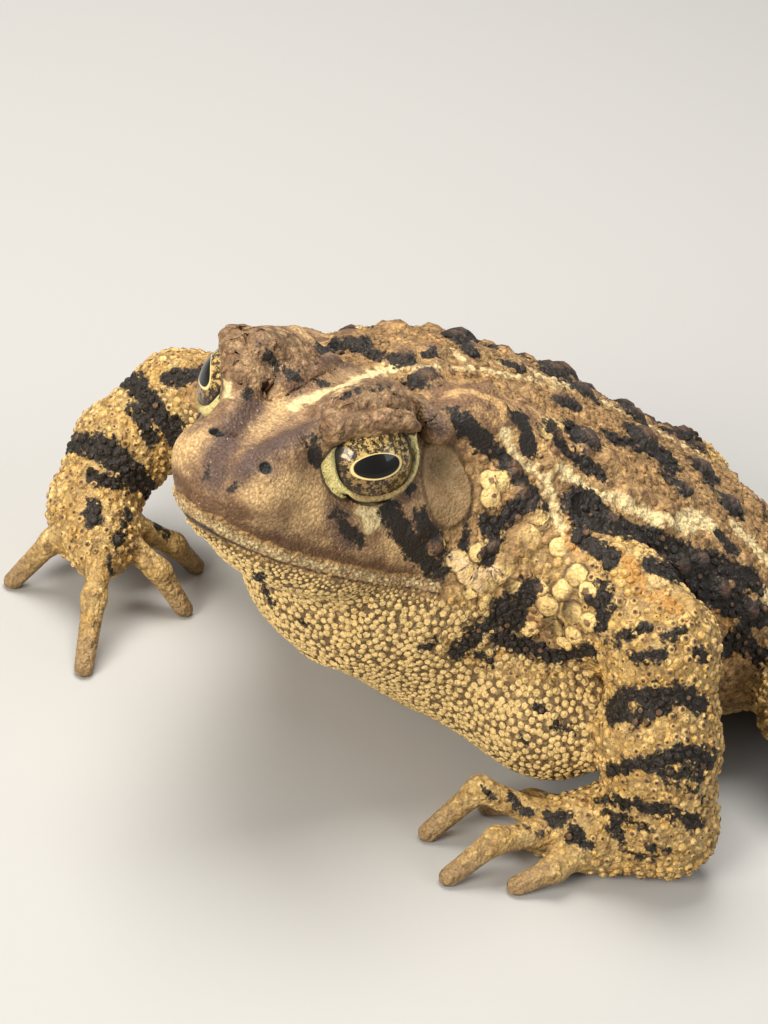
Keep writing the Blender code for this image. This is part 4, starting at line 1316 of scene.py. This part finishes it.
def mark_limbs(mesh, points):
    """The limbs, digits and tips, and how far points lie off arms and legs, and off digits."""
    limbs = [limb(ARMS[side][1:]) + limb(PALMS[side]) for side in ARMS]
    limbs += [limb(LEGS[side]) + limb(FEET[side]) for side in LEGS]
    off_limbs = np.min([distance_to(forms, points, 1.0) for forms in limbs], 0)
    fingers = [p for side in FINGERS for p in FINGERS[side]]
    toes = [p for side in FEET for p in all_toes(side)]
    digits = [digit(p, FINGER_RADIUS) for p in fingers] + [digit(p, TOE_RADIUS) for p in toes]
    off_digits = np.min([distance_to(forms, points) for forms in digits], 0)
    write_field(mesh, "limb", np.minimum(off_limbs, off_digits) - 0.9)
    write_field(mesh, "digit", off_digits - 0.45)
    tips = np.array([p[2] for p in fingers + toes])
    to_tip = np.min(np.linalg.norm(points[:, None] - tips[None], axis=2), 1)
    write_field(mesh, "digit_tip", to_tip)
    return off_limbs, off_digits


def mark_belly(mesh, points):
    """How high points lie over the edge of the pebbled throat and belly, which follows the
    mouth under the head and sinks along the flanks."""
    y = points[:, 1]
    local, over = over_mouth(points)
    trunk = along(TRUNK, y)
    share = 0.98 - 0.54 * smoothstep(0, 20, y)
    over_flank = points[:, 2] - (trunk[:, 4] + share * (trunk[:, 2] - trunk[:, 4]) + 1.5)
    over_lip = over + 0.4
    jaw = smoothstep(-8, 2, local[:, 1])
    low = np.where(
        y < -10, over_lip * (1 - jaw) + np.minimum(over_lip, over_flank) * jaw, over_flank
    )
    behind = smoothstep(-14, -4, y)
    level = over_lip * (1 - behind) + low * behind
    write_field(mesh, "belly", np.clip(level, -8, 8))
    return level


def mark_warts(mesh, points, warts):
    """The warts' tops, and the small pale beads of the shoulders. It gives how far points lie
    outside the nearest wart."""
    top = np.zeros(len(points))
    outside = np.full(len(points), 4.0)
    bead, bead_tip = np.zeros(len(points)), np.zeros(len(points))
    for spot, radius, way in warts:
        some = np.flatnonzero(np.abs(points - spot).max(1) < radius * 1.2 + 4)
        off = points[some] - spot
        rise = off @ way
        near = np.linalg.norm(off - rise[:, None] * way, axis=1) + np.abs(rise - 0.4) * 0.25
        top[some] = np.maximum(top[some], 1 - near / (radius * 1.15))
        outside[some] = np.minimum(outside[some], near - radius * 1.1)
        if radius < BEAD_RADIUS and spot[1] < BEAD_REAR:
            bead[some[near < radius * 1.15]] = 1
            axis = spot + way * np.linspace(0, 3, 31)[:, None]
            crown = axis[np.argmax(flesh(axis) > 0)]
            from_crown = np.linalg.norm(points[some] - crown, axis=1)
            bead_tip[some] = np.maximum(bead_tip[some], 1 - from_crown / (radius * 0.9))
    write_field(mesh, "wart", np.clip(top, 0, 1))
    write_field(mesh, "bead", bead)
    write_field(mesh, "bead_tip", bead_tip)
    return outside


def mark_rims(mesh, points):
    """The rims of the lids, and their duller lower parts; the material also paints shade in the
    crease just outside each rim. It gives how far points lie off.
    """
    rim, rim_low = np.full(len(points), FAR), np.zeros(len(points))
    for s in (1, -1):
        local = (points - eye_centre(s)) @ eye_frame(s)
        near = np.linalg.norm(local, axis=1) < EYE_RADIUS + 3
        rear, up, _ = local[near].T
        under_brow = smoothstep(1.6, 2.6, up) * smoothstep(-4.6, -3.4, rear)
        rim[near] = distance_to(LID_RIMS[s].forms, points[near]) + under_brow * 0.8
        rim_low[near] = smoothstep(-1.8, -3.0, up) * smoothstep(-3.6, -2.2, rear)
    write_field(mesh, "rim", rim)
    write_field(mesh, "rim_low", rim_low)
    return rim


def mark_skin(skin, warts):
    """Writes the markings and zones that the skin's material reads, in millimetres, and where
    each kind of grain grows."""
    mesh = skin.data
    points = vertex_places(mesh)
    tree = tree_of(mesh)
    mark_blotches(mesh, points, tree, warts)
    mark_head(mesh, points, tree)
    off_limbs, off_digits = mark_limbs(mesh, points)
    level = mark_belly(mesh, points)
    off_warts = mark_warts(mesh, points, warts)
    gland = np.min([distance_to(parotoid(s), points, 2.0) for s in (1, -1)], 0)
    write_field(mesh, "gland", gland - 1.0)
    drum = np.min([drum_distance(s, points) for s in (1, -1)], 0)
    write_field(mesh, "drum", drum)
    rim = mark_rims(mesh, points)
    # The skin itself has none of a grain's height or tint
    write_field(mesh, "tip", np.zeros(len(points)))
    write_field(mesh, "hue", np.full(len(points), 0.5))

    y = over_mouth(points)[0][:, 1]
    bare_head = smoothstep(11.5, 9.5, y) * smoothstep(0.1, 0.3, level)
    off_floor = smoothstep(0.5, 1.3, points[:, 2])
    clear = off_floor * (drum > 0.5) * (rim > 0.6) * (gland > 0.6) * (1 - bare_head)
    on_limb = smoothstep(2.4, 1.2, off_limbs)
    clear_digits = smoothstep(0.4, 0.9, off_digits)
    clear_warts = off_warts > 0.1
    under = smoothstep(0.5, 0.1, level) * (1 - on_limb)
    over = (1 - under) * (1 - on_limb)
    lips = (np.abs(level - 0.1) < 1.7) & (y < LIP_REAR) & (np.abs(level - 0.4) > 0.2)
    write_field(mesh, "grain_lip", lips & (rim > 0.6))
    write_field(mesh, "grain_under", under * clear * clear_digits * ~lips)
    write_field(
        mesh, "grain_limb", on_limb * off_floor * clear_digits * (1 - bare_head) * clear_warts
    )
    write_field(mesh, "grain_over", over * clear * clear_warts * clear_digits)


class Graph:
    """Adds nodes to a tree. An input may be a value or another node's output."""

    def __init__(self, tree):
        self.tree = tree
        tree.nodes.clear()

    def add(self, kind, inputs=None, **settings):
        node = self.tree.nodes.new(kind)
        for name, value in settings.items():
            setattr(node, name, value)
        for socket, value in (inputs or {}).items():
            self.feed(node.inputs[socket], value)
        return node

    def feed(self, socket, value):
        if isinstance(value, bpy.types.NodeSocket):
            self.tree.links.new(value, socket)
        elif isinstance(value, tuple) and len(value) == 3 and socket.type == "RGBA":
            socket.default_value = (*value, 1.0)
        else:
            socket.default_value = value

    def math(self, operation, a, b=0.0, clamp=False):
        node = self.add("ShaderNodeMath", {0: a, 1: b}, operation=operation, use_clamp=clamp)
        return node.outputs[0]

    def mix(self, factor, a, b):
        """Colour a where factor is 0, and b where it is 1."""
        node = self.add("ShaderNodeMix", {0: factor, 6: a, 7: b}, data_type="RGBA")
        return node.outputs[2]

    def range(self, value, low, high, to_low=0.0, to_high=1.0):
        node = self.add(
            "ShaderNodeMapRange",
            {0: value, 1: low, 2: high, 3: to_low, 4: to_high},
            interpolation_type="SMOOTHSTEP",
        )
        return node.outputs[0]

    def field(self, name):
        return self.add("ShaderNodeAttribute", attribute_name=name).outputs["Fac"]

    def noise(self, place, per_mm, detail=3.0, rough=0.55):
        node = self.add("ShaderNodeTexNoise", {"Vector": place, "Scale": per_mm,
                                               "Detail": detail, "Roughness": rough})
        return node.outputs["Fac"]

    def cells(self, place, per_mm, feature="F1"):
        node = self.add("ShaderNodeTexVoronoi", {"Vector": place, "Scale": per_mm},
                        feature=feature)
        return node.outputs["Distance"]

    def all_of(self, *masks):
        total = masks[0]
        for mask in masks[1:]:
            total = self.math("MULTIPLY", total, mask)
        return total


def millimetres(graph):
    """Object coordinates in millimetres."""
    place = graph.add("ShaderNodeTexCoord").outputs["Object"]
    scale = graph.add("ShaderNodeVectorMath", {0: place, "Scale": 1000.0}, operation="SCALE")
    return scale.outputs[0]


def skin_material():
    """Tan, gold and cream skin with black-brown blotches, as the fields on it say. It also carries
    painted shade in the creases between grains, round the feet of some warts, round the ear drums
    and the lid rims, and in the mouth slit and the nostrils.
    """
    material = bpy.data.materials.new("toad_skin")
    material.use_nodes = True
    g = Graph(material.node_tree)
    place = millimetres(g)
    slow, ragged = g.noise(place, 0.16, 2.0), g.noise(place, 0.75, 5.0, 0.62)
    mottle, speck = g.noise(place, 0.42, 4.0), g.noise(place, 3.4, 3.0, 0.6)
    tip, hue, wart = g.field("tip"), g.field("hue"), g.field("wart")
    drift = g.add("ShaderNodeTexNoise", {"Vector": place, "Scale": 0.9}).outputs["Color"]
    warp = g.add("ShaderNodeVectorMath", {0: place, 1: drift}, operation="ADD")
    granules = g.cells(warp.outputs[0], 1.15)
    pores = g.cells(place, 2.9)
    # The granules' cell edges, where painted shade marks the creases between them
    seam_shade = g.range(granules, 0.38, 0.62)

    wobble = g.math("MULTIPLY", g.math("SUBTRACT", ragged, 0.5), 3.6)
    wobble = g.math("ADD", wobble, g.math("MULTIPLY", g.math("SUBTRACT", speck, 0.5), 1.1))
    wobble = g.math("ADD", wobble, g.math("MULTIPLY", g.math("SUBTRACT", granules, 0.4), 0.9))

    def mask(name, at=0.0, soft=0.3, wobbly=1.0):
        """1 well inside a zone and 0 outside it, with a ragged edge."""
        value = g.field(name)
        if wobbly:
            value = g.math("ADD", value, g.math("MULTIPLY", wobble, wobbly))
        return g.range(value, at + soft, at - soft)

    back = g.mix(g.range(slow, 0.35, 0.65), BACK_TAN, BACK_PEACH)
    back = g.mix(g.range(mottle, 0.62, 0.44, 0.0, 0.6), back, BACK_OLIVE)
    back = g.mix(g.all_of(g.range(tip, 0.3, 0.95), g.range(hue, 0.25, 0.6, 0.0, 0.85)),
                 back, BROWN_TIP)
    # Painted shade in the creases between the back's granules
    back = g.mix(g.math("MULTIPLY", seam_shade, 0.4), back, DARK_BROWN_AND_CREVICE_SHADE)

    cream = g.mix(g.range(ragged, 0.35, 0.7, 0.0, 0.6), BELLY_CREAM, LIMB_PALE)
    # Painted shade between the throat pebbles and on their lower parts, darkest along the cell
    # seams; the pebble tops are cream
    pebble_gap_shade = g.mix(g.range(granules, 0.30, 0.55, 0.0, 0.8), PEBBLE_GAP_SHADE, DARK_BROWN_AND_CREVICE_SHADE)
    under = g.mix(g.range(tip, 0.02, 0.36), pebble_gap_shade, cream)
    prick = g.all_of(g.range(tip, 0.93, 0.99), g.range(hue, 0.72, 0.78))
    under = g.mix(prick, under, BLACK_BROWN)

    gold = g.mix(g.range(mottle, 0.35, 0.68), LIMB_GOLD, LIMB_PALE)
    gold = g.mix(g.range(ragged, 0.56, 0.36, 0.0, 0.75), gold, BACK_OLIVE)
    # Painted shade in the creases between the limb granules and round the feet of the tubercles
    gold = g.mix(g.all_of(g.range(tip, 0.35, 0.0, 0.0, 0.45), g.range(granules, 0.2, 0.5)),
                 gold, DARK_BROWN_AND_CREVICE_SHADE)
    spot = g.all_of(g.range(tip, 0.66, 0.85), g.range(hue, 0.42, 0.5))
    gold = g.mix(spot, gold, BROWN_TIP)
    gold = g.mix(g.all_of(g.range(tip, 0.86, 0.96), g.range(hue, 0.3, 0.4)), gold, BLACK_BROWN)

    head = g.mix(g.range(mottle, 0.38, 0.60), HEAD_BROWN, HEAD_TAN)
    head = g.mix(mask("sand", 0.4, 1.2, 0.5), head, SAND_TAN)
    head = g.mix(mask("purple", 0.2, 1.2, 0.5), head, HEAD_PURPLE)
    head = g.mix(g.math("MULTIPLY", mask("rust", 0.2, 0.7, 0.4), 0.9), head, LIP_RUST)
    head = g.mix(g.range(ragged, 0.38, 0.27, 0.0, 0.7), head, DARK_BROWN_AND_CREVICE_SHADE)
    head = g.mix(g.range(pores, 0.42, 0.62, 0.0, 0.35), head, DARK_BROWN_AND_CREVICE_SHADE)
    head = g.mix(g.range(speck, 0.67, 0.73, 0.0, 0.6), head, STRIPE_CREAM)

    colour = g.mix(mask("belly", 0.0, 1.0, 0.7), back, under)
    colour = g.mix(mask("limb", 0.6, 0.6, 0.2), colour, gold)
    colour = g.mix(mask("gold", 0.0, 1.2, 1.0), colour, gold)
    head_edge = g.math("ADD", g.field("head"), g.math("MULTIPLY", wobble, 0.2))
    head_zone = g.range(head_edge, -0.15, 0.2)
    colour = g.mix(head_zone, colour, head)
    lids = g.mix(g.range(ragged, 0.42, 0.6), HEAD_BROWN, HEAD_TAN)
    # Painted shade in the creases between the lid granules
    lids = g.mix(g.range(granules, 0.42, 0.66, 0.0, 0.7), lids, DARK_BROWN_AND_CREVICE_SHADE)
    colour = g.mix(mask("lid", 0.3, 0.8, 0.4), colour, lids)
    gland = g.mix(g.range(mottle, 0.4, 0.62), HEAD_BROWN, BACK_PEACH)
    gland = g.mix(g.range(pores, 0.40, 0.62, 0.0, 0.35), gland, DARK_BROWN_AND_CREVICE_SHADE)
    colour = g.mix(mask("gland", 0.2, 0.7, 0.4), colour, gland)
    bead = g.field("bead")
    off_head = g.range(head_zone, 0.2, 0.8, 1.0, 0.0)
    # The pale beads: painted shade in the crevice round each foot, and a brown tip
    small = g.mix(g.range(wart, 0.04, 0.2), DARK_BROWN_AND_CREVICE_SHADE, LIMB_PALE)
    small = g.mix(g.range(g.field("bead_tip"), 0.38, 0.55, 0.0, 0.9), small, BROWN_TIP)
    colour = g.mix(g.math("MULTIPLY", bead, off_head), colour, small)
    domed = g.all_of(g.range(wart, 0.30, 0.62, 0.0, 0.85), g.range(bead, 0.2, 0.8, 1.0, 0.0))
    colour = g.mix(domed, colour, BROWN_TIP)
    colour = g.mix(mask("orange", 0.0, 0.5, 1.0), colour, RUST_ORANGE)
    colour = g.mix(mask("pale", 0.0, 0.4, 0.85), colour, STRIPE_CREAM)
    # The pink warts: painted shade in the crevice round each foot, and a brown top
    pink = g.mix(g.range(wart, 0.0, 0.18), DARK_BROWN_AND_CREVICE_SHADE, PINK_CREAM)
    pink = g.mix(g.range(wart, 0.55, 0.72, 0.0, 0.8), pink, BROWN_TIP)
    colour = g.mix(mask("pink", 0.1, 0.4, 0.4), colour, pink)
    dark = mask("dark", 0.0, 0.25, 0.8)
    worn = g.mix(g.range(mottle, 0.4, 0.6), BROWN_TIP, WART_GREY)
    black = g.mix(g.range(wart, 0.22, 0.60, 0.0, 0.9), BLACK_BROWN, worn)
    black = g.mix(g.all_of(g.range(hue, 0.80, 0.9), g.range(tip, 0.55, 0.8)), black, BROWN_TIP)
    colour = g.mix(dark, colour, black)

    drum = g.mix(g.range(speck, 0.56, 0.66, 0.0, 0.85), DRUM_OLIVE, BLACK_BROWN)
    drum = g.mix(g.range(ragged, 0.58, 0.38, 0.0, 0.75), drum, BACK_OLIVE)
    drum = g.mix(g.range(mottle, 0.45, 0.62, 0.0, 0.6), drum, HEAD_TAN)
    # Painted shade in a ring round each ear drum, where the skin has no groove
    drum_crease_shade = g.range(g.math("ABSOLUTE", g.math("SUBTRACT", g.field("drum"), 0.25)), 0.45, 0.1)
    colour = g.mix(g.math("MULTIPLY", drum_crease_shade, 0.75), colour, DARK_BROWN_AND_CREVICE_SHADE)
    colour = g.mix(mask("drum", 0.0, 0.3, 0.08), colour, drum)
    lip = g.mix(g.range(ragged, 0.36, 0.62), HEAD_TAN, STRIPE_CREAM)
    lip = g.mix(g.range(pores, 0.35, 0.6, 0.0, 0.4), lip, DARK_BROWN_AND_CREVICE_SHADE)
    colour = g.mix(mask("lip", 0.0, 0.2, 0.3), colour, lip)
    # Painted shade: the mouth slit between the lips, painted black
    colour = g.mix(g.range(g.field("mouth"), 0.16, -0.1, 0.0, 0.95), colour, BLACK_BROWN)
    rim = g.mix(g.range(speck, 0.60, 0.72), RIM_YELLOW, BLACK_BROWN)
    rim = g.mix(g.math("MULTIPLY", g.field("rim_low"), 0.75), rim, BACK_OLIVE)
    # Painted shade in the crease just outside each lid rim
    colour = g.mix(g.range(g.field("rim"), 0.75, 0.45, 0.0, 0.75), colour, BLACK_BROWN)
    colour = g.mix(g.range(g.field("rim"), 0.34, 0.2), colour, rim)
    # Painted shade: the nostril pits, painted black
    colour = g.mix(g.range(g.field("pit"), 0.25, 0.02), colour, EYE_BLACK)
    tip_zone = g.range(g.math("ADD", g.field("digit_tip"), wobble), 7.0, 1.0, 0.0, 0.85)
    colour = g.mix(g.all_of(tip_zone, g.range(g.field("digit"), 0.4, 0.0)), colour, TIP_BROWN)
    shade = g.range(speck, 0.3, 0.7, 0.74, 1.2)
    shaded = g.add("ShaderNodeVectorMath", {0: colour, "Scale": shade}, operation="SCALE")

    smooth = g.math("MAXIMUM", head_zone, mask("gland", 0.3, 0.8, 0.0))
    smooth = g.math("MAXIMUM", smooth, mask("drum", 0.2, 0.3, 0.0))
    folds = g.noise(place, 1.2, 4.0, 0.6)
    height = g.math("ADD", g.math("MULTIPLY", folds, 0.55), g.math("MULTIPLY", pores, -0.28))
    height = g.math("ADD", height, g.math("MULTIPLY", speck, 0.20))
    plain = g.all_of(smooth, g.range(mask("lid", 0.3, 0.6, 0.0), 0.0, 1.0, 1.0, 0.25))
    lumps = g.math("MULTIPLY", granules, g.range(plain, 0.0, 1.0, -0.95, -0.12))
    height = g.math("ADD", height, lumps)
    bump = g.add("ShaderNodeBump", {"Strength": 0.9, "Distance": 0.0005, "Height": height})
    rough = g.range(speck, 0.35, 0.7, 0.66, 0.42)
    shader = g.add(
        "ShaderNodeBsdfPrincipled",
        {"Base Color": shaded.outputs[0], "Roughness": rough, "Specular IOR Level": 0.36,
         "Normal": bump.outputs[0]},
    )
    out = g.add("ShaderNodeOutputMaterial")
    g.tree.links.new(shader.outputs[0], out.inputs["Surface"])
    return material


def grain_dome(name, sides, rise):
    """A closed low dome of unit radius, its foot sunk, with its height kept as tip."""
    bm = bmesh.new()
    rings = []
    for level, radius in ((-0.35, 1.0), (0.25, 0.93), (0.72, 0.6)):
        rings.append([
            bm.verts.new((radius * math.cos(2 * math.pi * k / sides),
                          radius * math.sin(2 * math.pi * k / sides), level * rise))
            for k in range(sides)
        ])
    peak = bm.verts.new((0, 0, rise))
    for low, high in zip(rings, rings[1:]):
        for k in range(sides):
            m = (k + 1) % sides
            bm.faces.new((low[k], low[m], high[m], high[k]))
    for k in range(sides):
        bm.faces.new((rings[-1][k], rings[-1][(k + 1) % sides], peak))
    bm.faces.new(rings[0][::-1])
    mesh = bpy.data.meshes.new(name)
    bm.to_mesh(mesh)
    bm.free()
    heights = vertex_places(mesh)[:, 2] / rise
    write_field(mesh, "tip", np.clip(heights, 0, 1))
    return as_object(name, mesh)


def grain_tree(where):
    """Sets one dome on many points of a skin, by the field named where."""
    tree = bpy.data.node_groups.new("grains_on_skin", "GeometryNodeTree")
    ask = tree.interface.new_socket
    ask("Skin", in_out="INPUT", socket_type="NodeSocketGeometry")
    for name in ("Spacing", "Smallest", "Largest", "Density"):
        ask(name, in_out="INPUT", socket_type="NodeSocketFloat")
    ask("Seed", in_out="INPUT", socket_type="NodeSocketInt")
    ask("Dome", in_out="INPUT", socket_type="NodeSocketObject")
    ask("Material", in_out="INPUT", socket_type="NodeSocketMaterial")
    ask("Grains", in_out="OUTPUT", socket_type="NodeSocketGeometry")
    g = Graph(tree)
    given = g.add("NodeGroupInput").outputs
    field = g.add("GeometryNodeInputNamedAttribute", {"Name": where}, data_type="FLOAT")
    there = g.add("FunctionNodeCompare", {0: field.outputs[0], 1: 0.4}, operation="GREATER_THAN")
    points = g.add(
        "GeometryNodeDistributePointsOnFaces",
        {"Mesh": given["Skin"], "Selection": there.outputs[0], "Distance Min": given["Spacing"],
         "Density Max": given["Density"], "Seed": given["Seed"]},
        distribute_method="POISSON",
    )
    tint = g.add("FunctionNodeRandomValue", {"Seed": 3}, data_type="FLOAT")
    kept = g.add(
        "GeometryNodeStoreNamedAttribute",
        {"Geometry": points.outputs["Points"], "Name": "hue", "Value": tint.outputs[1]},
        data_type="FLOAT", domain="POINT",
    )
    size = g.add("FunctionNodeRandomValue", {2: given["Smallest"], 3: given["Largest"], "Seed": 7},
                 data_type="FLOAT")
    spin = g.add("FunctionNodeRandomValue", {3: 6.28, "Seed": 5}, data_type="FLOAT")
    about = g.add("ShaderNodeCombineXYZ", {2: spin.outputs[1]})
    turn = g.add("FunctionNodeRotateRotation", {0: points.outputs["Rotation"], 1: about.outputs[0]},
                 rotation_space="LOCAL")
    dome = g.add("GeometryNodeObjectInfo", {"Object": given["Dome"]})
    placed = g.add(
        "GeometryNodeInstanceOnPoints",
        {"Points": kept.outputs[0], "Instance": dome.outputs["Geometry"],
         "Rotation": turn.outputs[0], "Scale": size.outputs[1]},
    )
    real = g.add("GeometryNodeRealizeInstances", {0: placed.outputs[0]})
    smooth = g.add("GeometryNodeSetShadeSmooth", {0: real.outputs[0]})
    painted = g.add("GeometryNodeSetMaterial", {0: smooth.outputs[0],
                                                "Material": given["Material"]})
    out = g.add("NodeGroupOutput")
    tree.links.new(painted.outputs[0], out.inputs[0])
    return tree


# Kinds of grain: piece, field, least spacing, smallest and largest radius, sides, rise, seed
GRAINS = [
    ("throat_pebbles", "grain_under", 0.68, 0.39, 0.52, 6, 0.50, 1),
    ("lip_pebbles", "grain_lip", 0.46, 0.22, 0.33, 6, 0.60, 4),
    ("limb_tubercles", "grain_limb", 0.92, 0.30, 0.66, 6, 0.70, 2),
    ("back_granules", "grain_over", 0.95, 0.28, 0.66, 6, 0.70, 3),
]


def make_grains(skin, material):
    made = []
    for name, where, spacing, smallest, largest, sides, rise, seed in GRAINS:
        dome = grain_dome(name + "_dome", sides, rise)
        holder = as_object(name, skin.data.copy())
        tree = grain_tree(where)
        setter = holder.modifiers.new("grains", "NODES")
        setter.node_group = tree
        given = {
            "Spacing": spacing, "Smallest": smallest, "Largest": largest,
            "Density": 5.0 / spacing**2, "Seed": seed, "Dome": dome, "Material": material,
        }
        for item in tree.interface.items_tree:
            if item.in_out == "INPUT" and item.name in given:
                setter[item.identifier] = given[item.name]
        settle(holder)
        bpy.data.objects.remove(dome)
        made.append(holder)
    return made


# The pupil's half width and half height, its middle to the eye's front and below the eye's
# axis, the iris's radius, and the tones of both
PUPIL_HALF = (2.45, 1.25)
PUPIL_OFF = (0.28, 0.2)
IRIS_RADIUS = 4.3
IRIS_GOLD = (0.62, 0.42, 0.15)
IRIS_BROWN = (0.26, 0.155, 0.055)
PUPIL_EDGE = (0.80, 0.60, 0.25)
EYE_BLACK = (0.006, 0.005, 0.004)


def eye_material():
    """A gold and brown iris, netted with black, round a lying pupil with a gold edge."""
    material = bpy.data.materials.new("toad_eye")
    material.use_nodes = True
    g = Graph(material.node_tree)
    rear, up = g.field("eye_rear"), g.field("eye_up")
    spot = g.add("ShaderNodeCombineXYZ", {0: rear, 1: up, 2: 0.0}).outputs[0]
    ring = g.add("ShaderNodeVectorMath", {0: spot}, operation="LENGTH").outputs["Value"]
    angle = g.math("ARCTAN2", up, rear)
    polar = g.add("ShaderNodeCombineXYZ", {0: g.math("MULTIPLY", angle, 3.2), 1: ring}).outputs[0]
    across = g.math("DIVIDE", g.math("ADD", rear, PUPIL_OFF[0]), PUPIL_HALF[0])
    tall = g.math("DIVIDE", g.math("ADD", up, PUPIL_OFF[1]), PUPIL_HALF[1])
    across = g.math("POWER", g.math("ABSOLUTE", across), 1.8)
    tall = g.math("POWER", g.math("ABSOLUTE", tall), 2.2)
    oval = g.math("POWER", g.math("ADD", across, tall), 0.5)
    flecks = g.noise(spot, 1.5, 6.0, 0.75)
    veins = g.noise(polar, 1.9, 5.0, 0.7)
    gold = g.mix(g.range(g.math("ADD", up, g.math("MULTIPLY", rear, 0.3)), -2.4, 1.6),
                 IRIS_BROWN, IRIS_GOLD)
    gold = g.mix(g.range(flecks, 0.54, 0.49, 0.0, 0.9), gold, EYE_BLACK)
    gold = g.mix(g.range(veins, 0.45, 0.39), gold, EYE_BLACK)
    gold = g.mix(g.range(ring, IRIS_RADIUS - 0.6, IRIS_RADIUS - 0.25), gold, EYE_BLACK)
    edge = g.range(up, -1.6, 0.8, 1.13, 1.07)
    gold = g.mix(g.range(g.math("SUBTRACT", oval, edge), 0.06, -0.02), gold, PUPIL_EDGE)
    gold = g.mix(g.range(oval, 1.04, 0.98), gold, EYE_BLACK)
    shader = g.add(
        "ShaderNodeBsdfPrincipled",
        {"Base Color": gold, "Roughness": 0.4, "Specular IOR Level": 0.15,
         "Coat Weight": 0.7, "Coat Roughness": 0.02, "Coat IOR": 1.33},
    )
    out = g.add("ShaderNodeOutputMaterial")
    g.tree.links.new(shader.outputs[0], out.inputs["Surface"])
    return material


def eyeball(side, s, material):
    """The eyeball, with each point's place in the eye's own frame kept for its iris."""
    bm = bmesh.new()
    bmesh.ops.create_icosphere(bm, subdivisions=6, radius=EYE_RADIUS)
    mesh = bpy.data.meshes.new("eyeball_" + side)
    bm.to_mesh(mesh)
    bm.free()
    local = vertex_places(mesh)
    write_field(mesh, "eye_rear", local[:, 0] - 0.2)
    write_field(mesh, "eye_up", np.where(local[:, 2] > 0, local[:, 1], 9.0))
    set_places(mesh, local @ eye_frame(s).T + eye_centre(s))
    if np.linalg.det(eye_frame(s)) < 0:
        mesh.flip_normals()
    mesh.shade_smooth()
    mesh.materials.append(material)
    return as_object("eyeball_" + side, mesh)


def to_frame():
    """What moves the toad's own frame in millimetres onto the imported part, in metres."""
    low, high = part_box("eye_left")
    shift = (low + high) / 2 / MM - Vector(eye_centre(1))
    return Matrix.Scale(MM, 4) @ Matrix.Translation(shift)


def finish_piece(piece, move, slot, *nodes):
    piece.data.transform(move)
    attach(piece, "root")
    if nodes:
        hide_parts(*nodes)


def add_camera(move):
    right, up = Vector(CAMERA_RIGHT), Vector(CAMERA_UP)
    turn = Matrix((right, up, right.cross(up))).transposed()
    lens = bpy.data.cameras.new("camera")
    lens.lens = FOCAL_PIXELS * SENSOR_MM / PHOTO_HEIGHT
    lens.sensor_width = SENSOR_MM
    lens.clip_start = 0.01
    camera = bpy.data.objects.new("camera", lens)
    camera.matrix_world = Matrix.Translation(move @ Vector(CAMERA_PLACE)) @ turn.to_4x4()
    bpy.context.scene.collection.objects.link(camera)
    bpy.context.scene.camera = camera


# Studio lights: name, place in metres, size in metres, power in watts and colour. All point
# at the middle of the toad.
LIGHT_TARGET = (0, 0, 0.02)
LIGHTS = [
    ("sky_light", (-0.16, 0.02, 0.50), 0.30, 3.6, (1.0, 0.97, 0.92)),
    ("key_light", (0.10, -0.46, 0.26), 0.20, 3.0, (1.0, 0.95, 0.86)),
    ("rim_light", (0.40, 0.25, 0.30), 0.25, 0.8, (0.92, 0.96, 1.0)),
]
ROOM_COLOUR, ROOM_LIGHT = (0.86, 0.90, 1.0, 1.0), 0.30
FLOOR_GREY = (0.42, 0.41, 0.39, 1)
FLOOR_HALF = 2.0


def add_lights():
    for name, place, size, power, colour in LIGHTS:
        lamp = bpy.data.lights.new(name, "AREA")
        lamp.size, lamp.energy, lamp.color = size, power, colour
        made = bpy.data.objects.new(name, lamp)
        made.location = place
        aim = Vector(LIGHT_TARGET) - Vector(place)
        made.rotation_euler = aim.to_track_quat("-Z", "Y").to_euler()
        bpy.context.scene.collection.objects.link(made)
    world = bpy.data.worlds.new("studio")
    world.use_nodes = True
    background = world.node_tree.nodes["Background"]
    background.inputs[0].default_value = ROOM_COLOUR
    background.inputs[1].default_value = ROOM_LIGHT
    bpy.context.scene.world = world
    bpy.context.scene.view_settings.view_transform = "Standard"


def add_floor():
    bm = bmesh.new()
    bmesh.ops.create_grid(bm, x_segments=1, y_segments=1, size=FLOOR_HALF)
    bmesh.ops.translate(bm, vec=(0, 0, -0.00005), verts=bm.verts[:])
    mesh = bpy.data.meshes.new("studio_floor")
    bm.to_mesh(mesh)
    bm.free()
    floor = as_object("studio_floor", mesh)
    material = bpy.data.materials.new("floor_grey")
    material.use_nodes = True
    shader = material.node_tree.nodes["Principled BSDF"]
    shader.inputs["Base Color"].default_value = FLOOR_GREY
    shader.inputs["Roughness"].default_value = 0.8
    mesh.materials.append(material)


def main():
    warts = raise_warts()
    skin = fine_skin()
    mark_skin(skin, warts)
    material = skin_material()
    made = make_grains(skin, material)
    skin.data.materials.clear()
    skin.data.materials.append(material)
    move = to_frame()
    flesh_nodes = [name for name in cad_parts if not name.startswith("eye_")]
    finish_piece(skin, move, "skin", *flesh_nodes)
    for piece in made:
        finish_piece(piece, move, "skin")
    gloss = eye_material()
    for side, s in (("left", 1), ("right", -1)):
        finish_piece(eyeball(side, s, gloss), move, "eye", "eye_" + side)
    add_camera(move)
    add_lights()
    add_floor()


main()
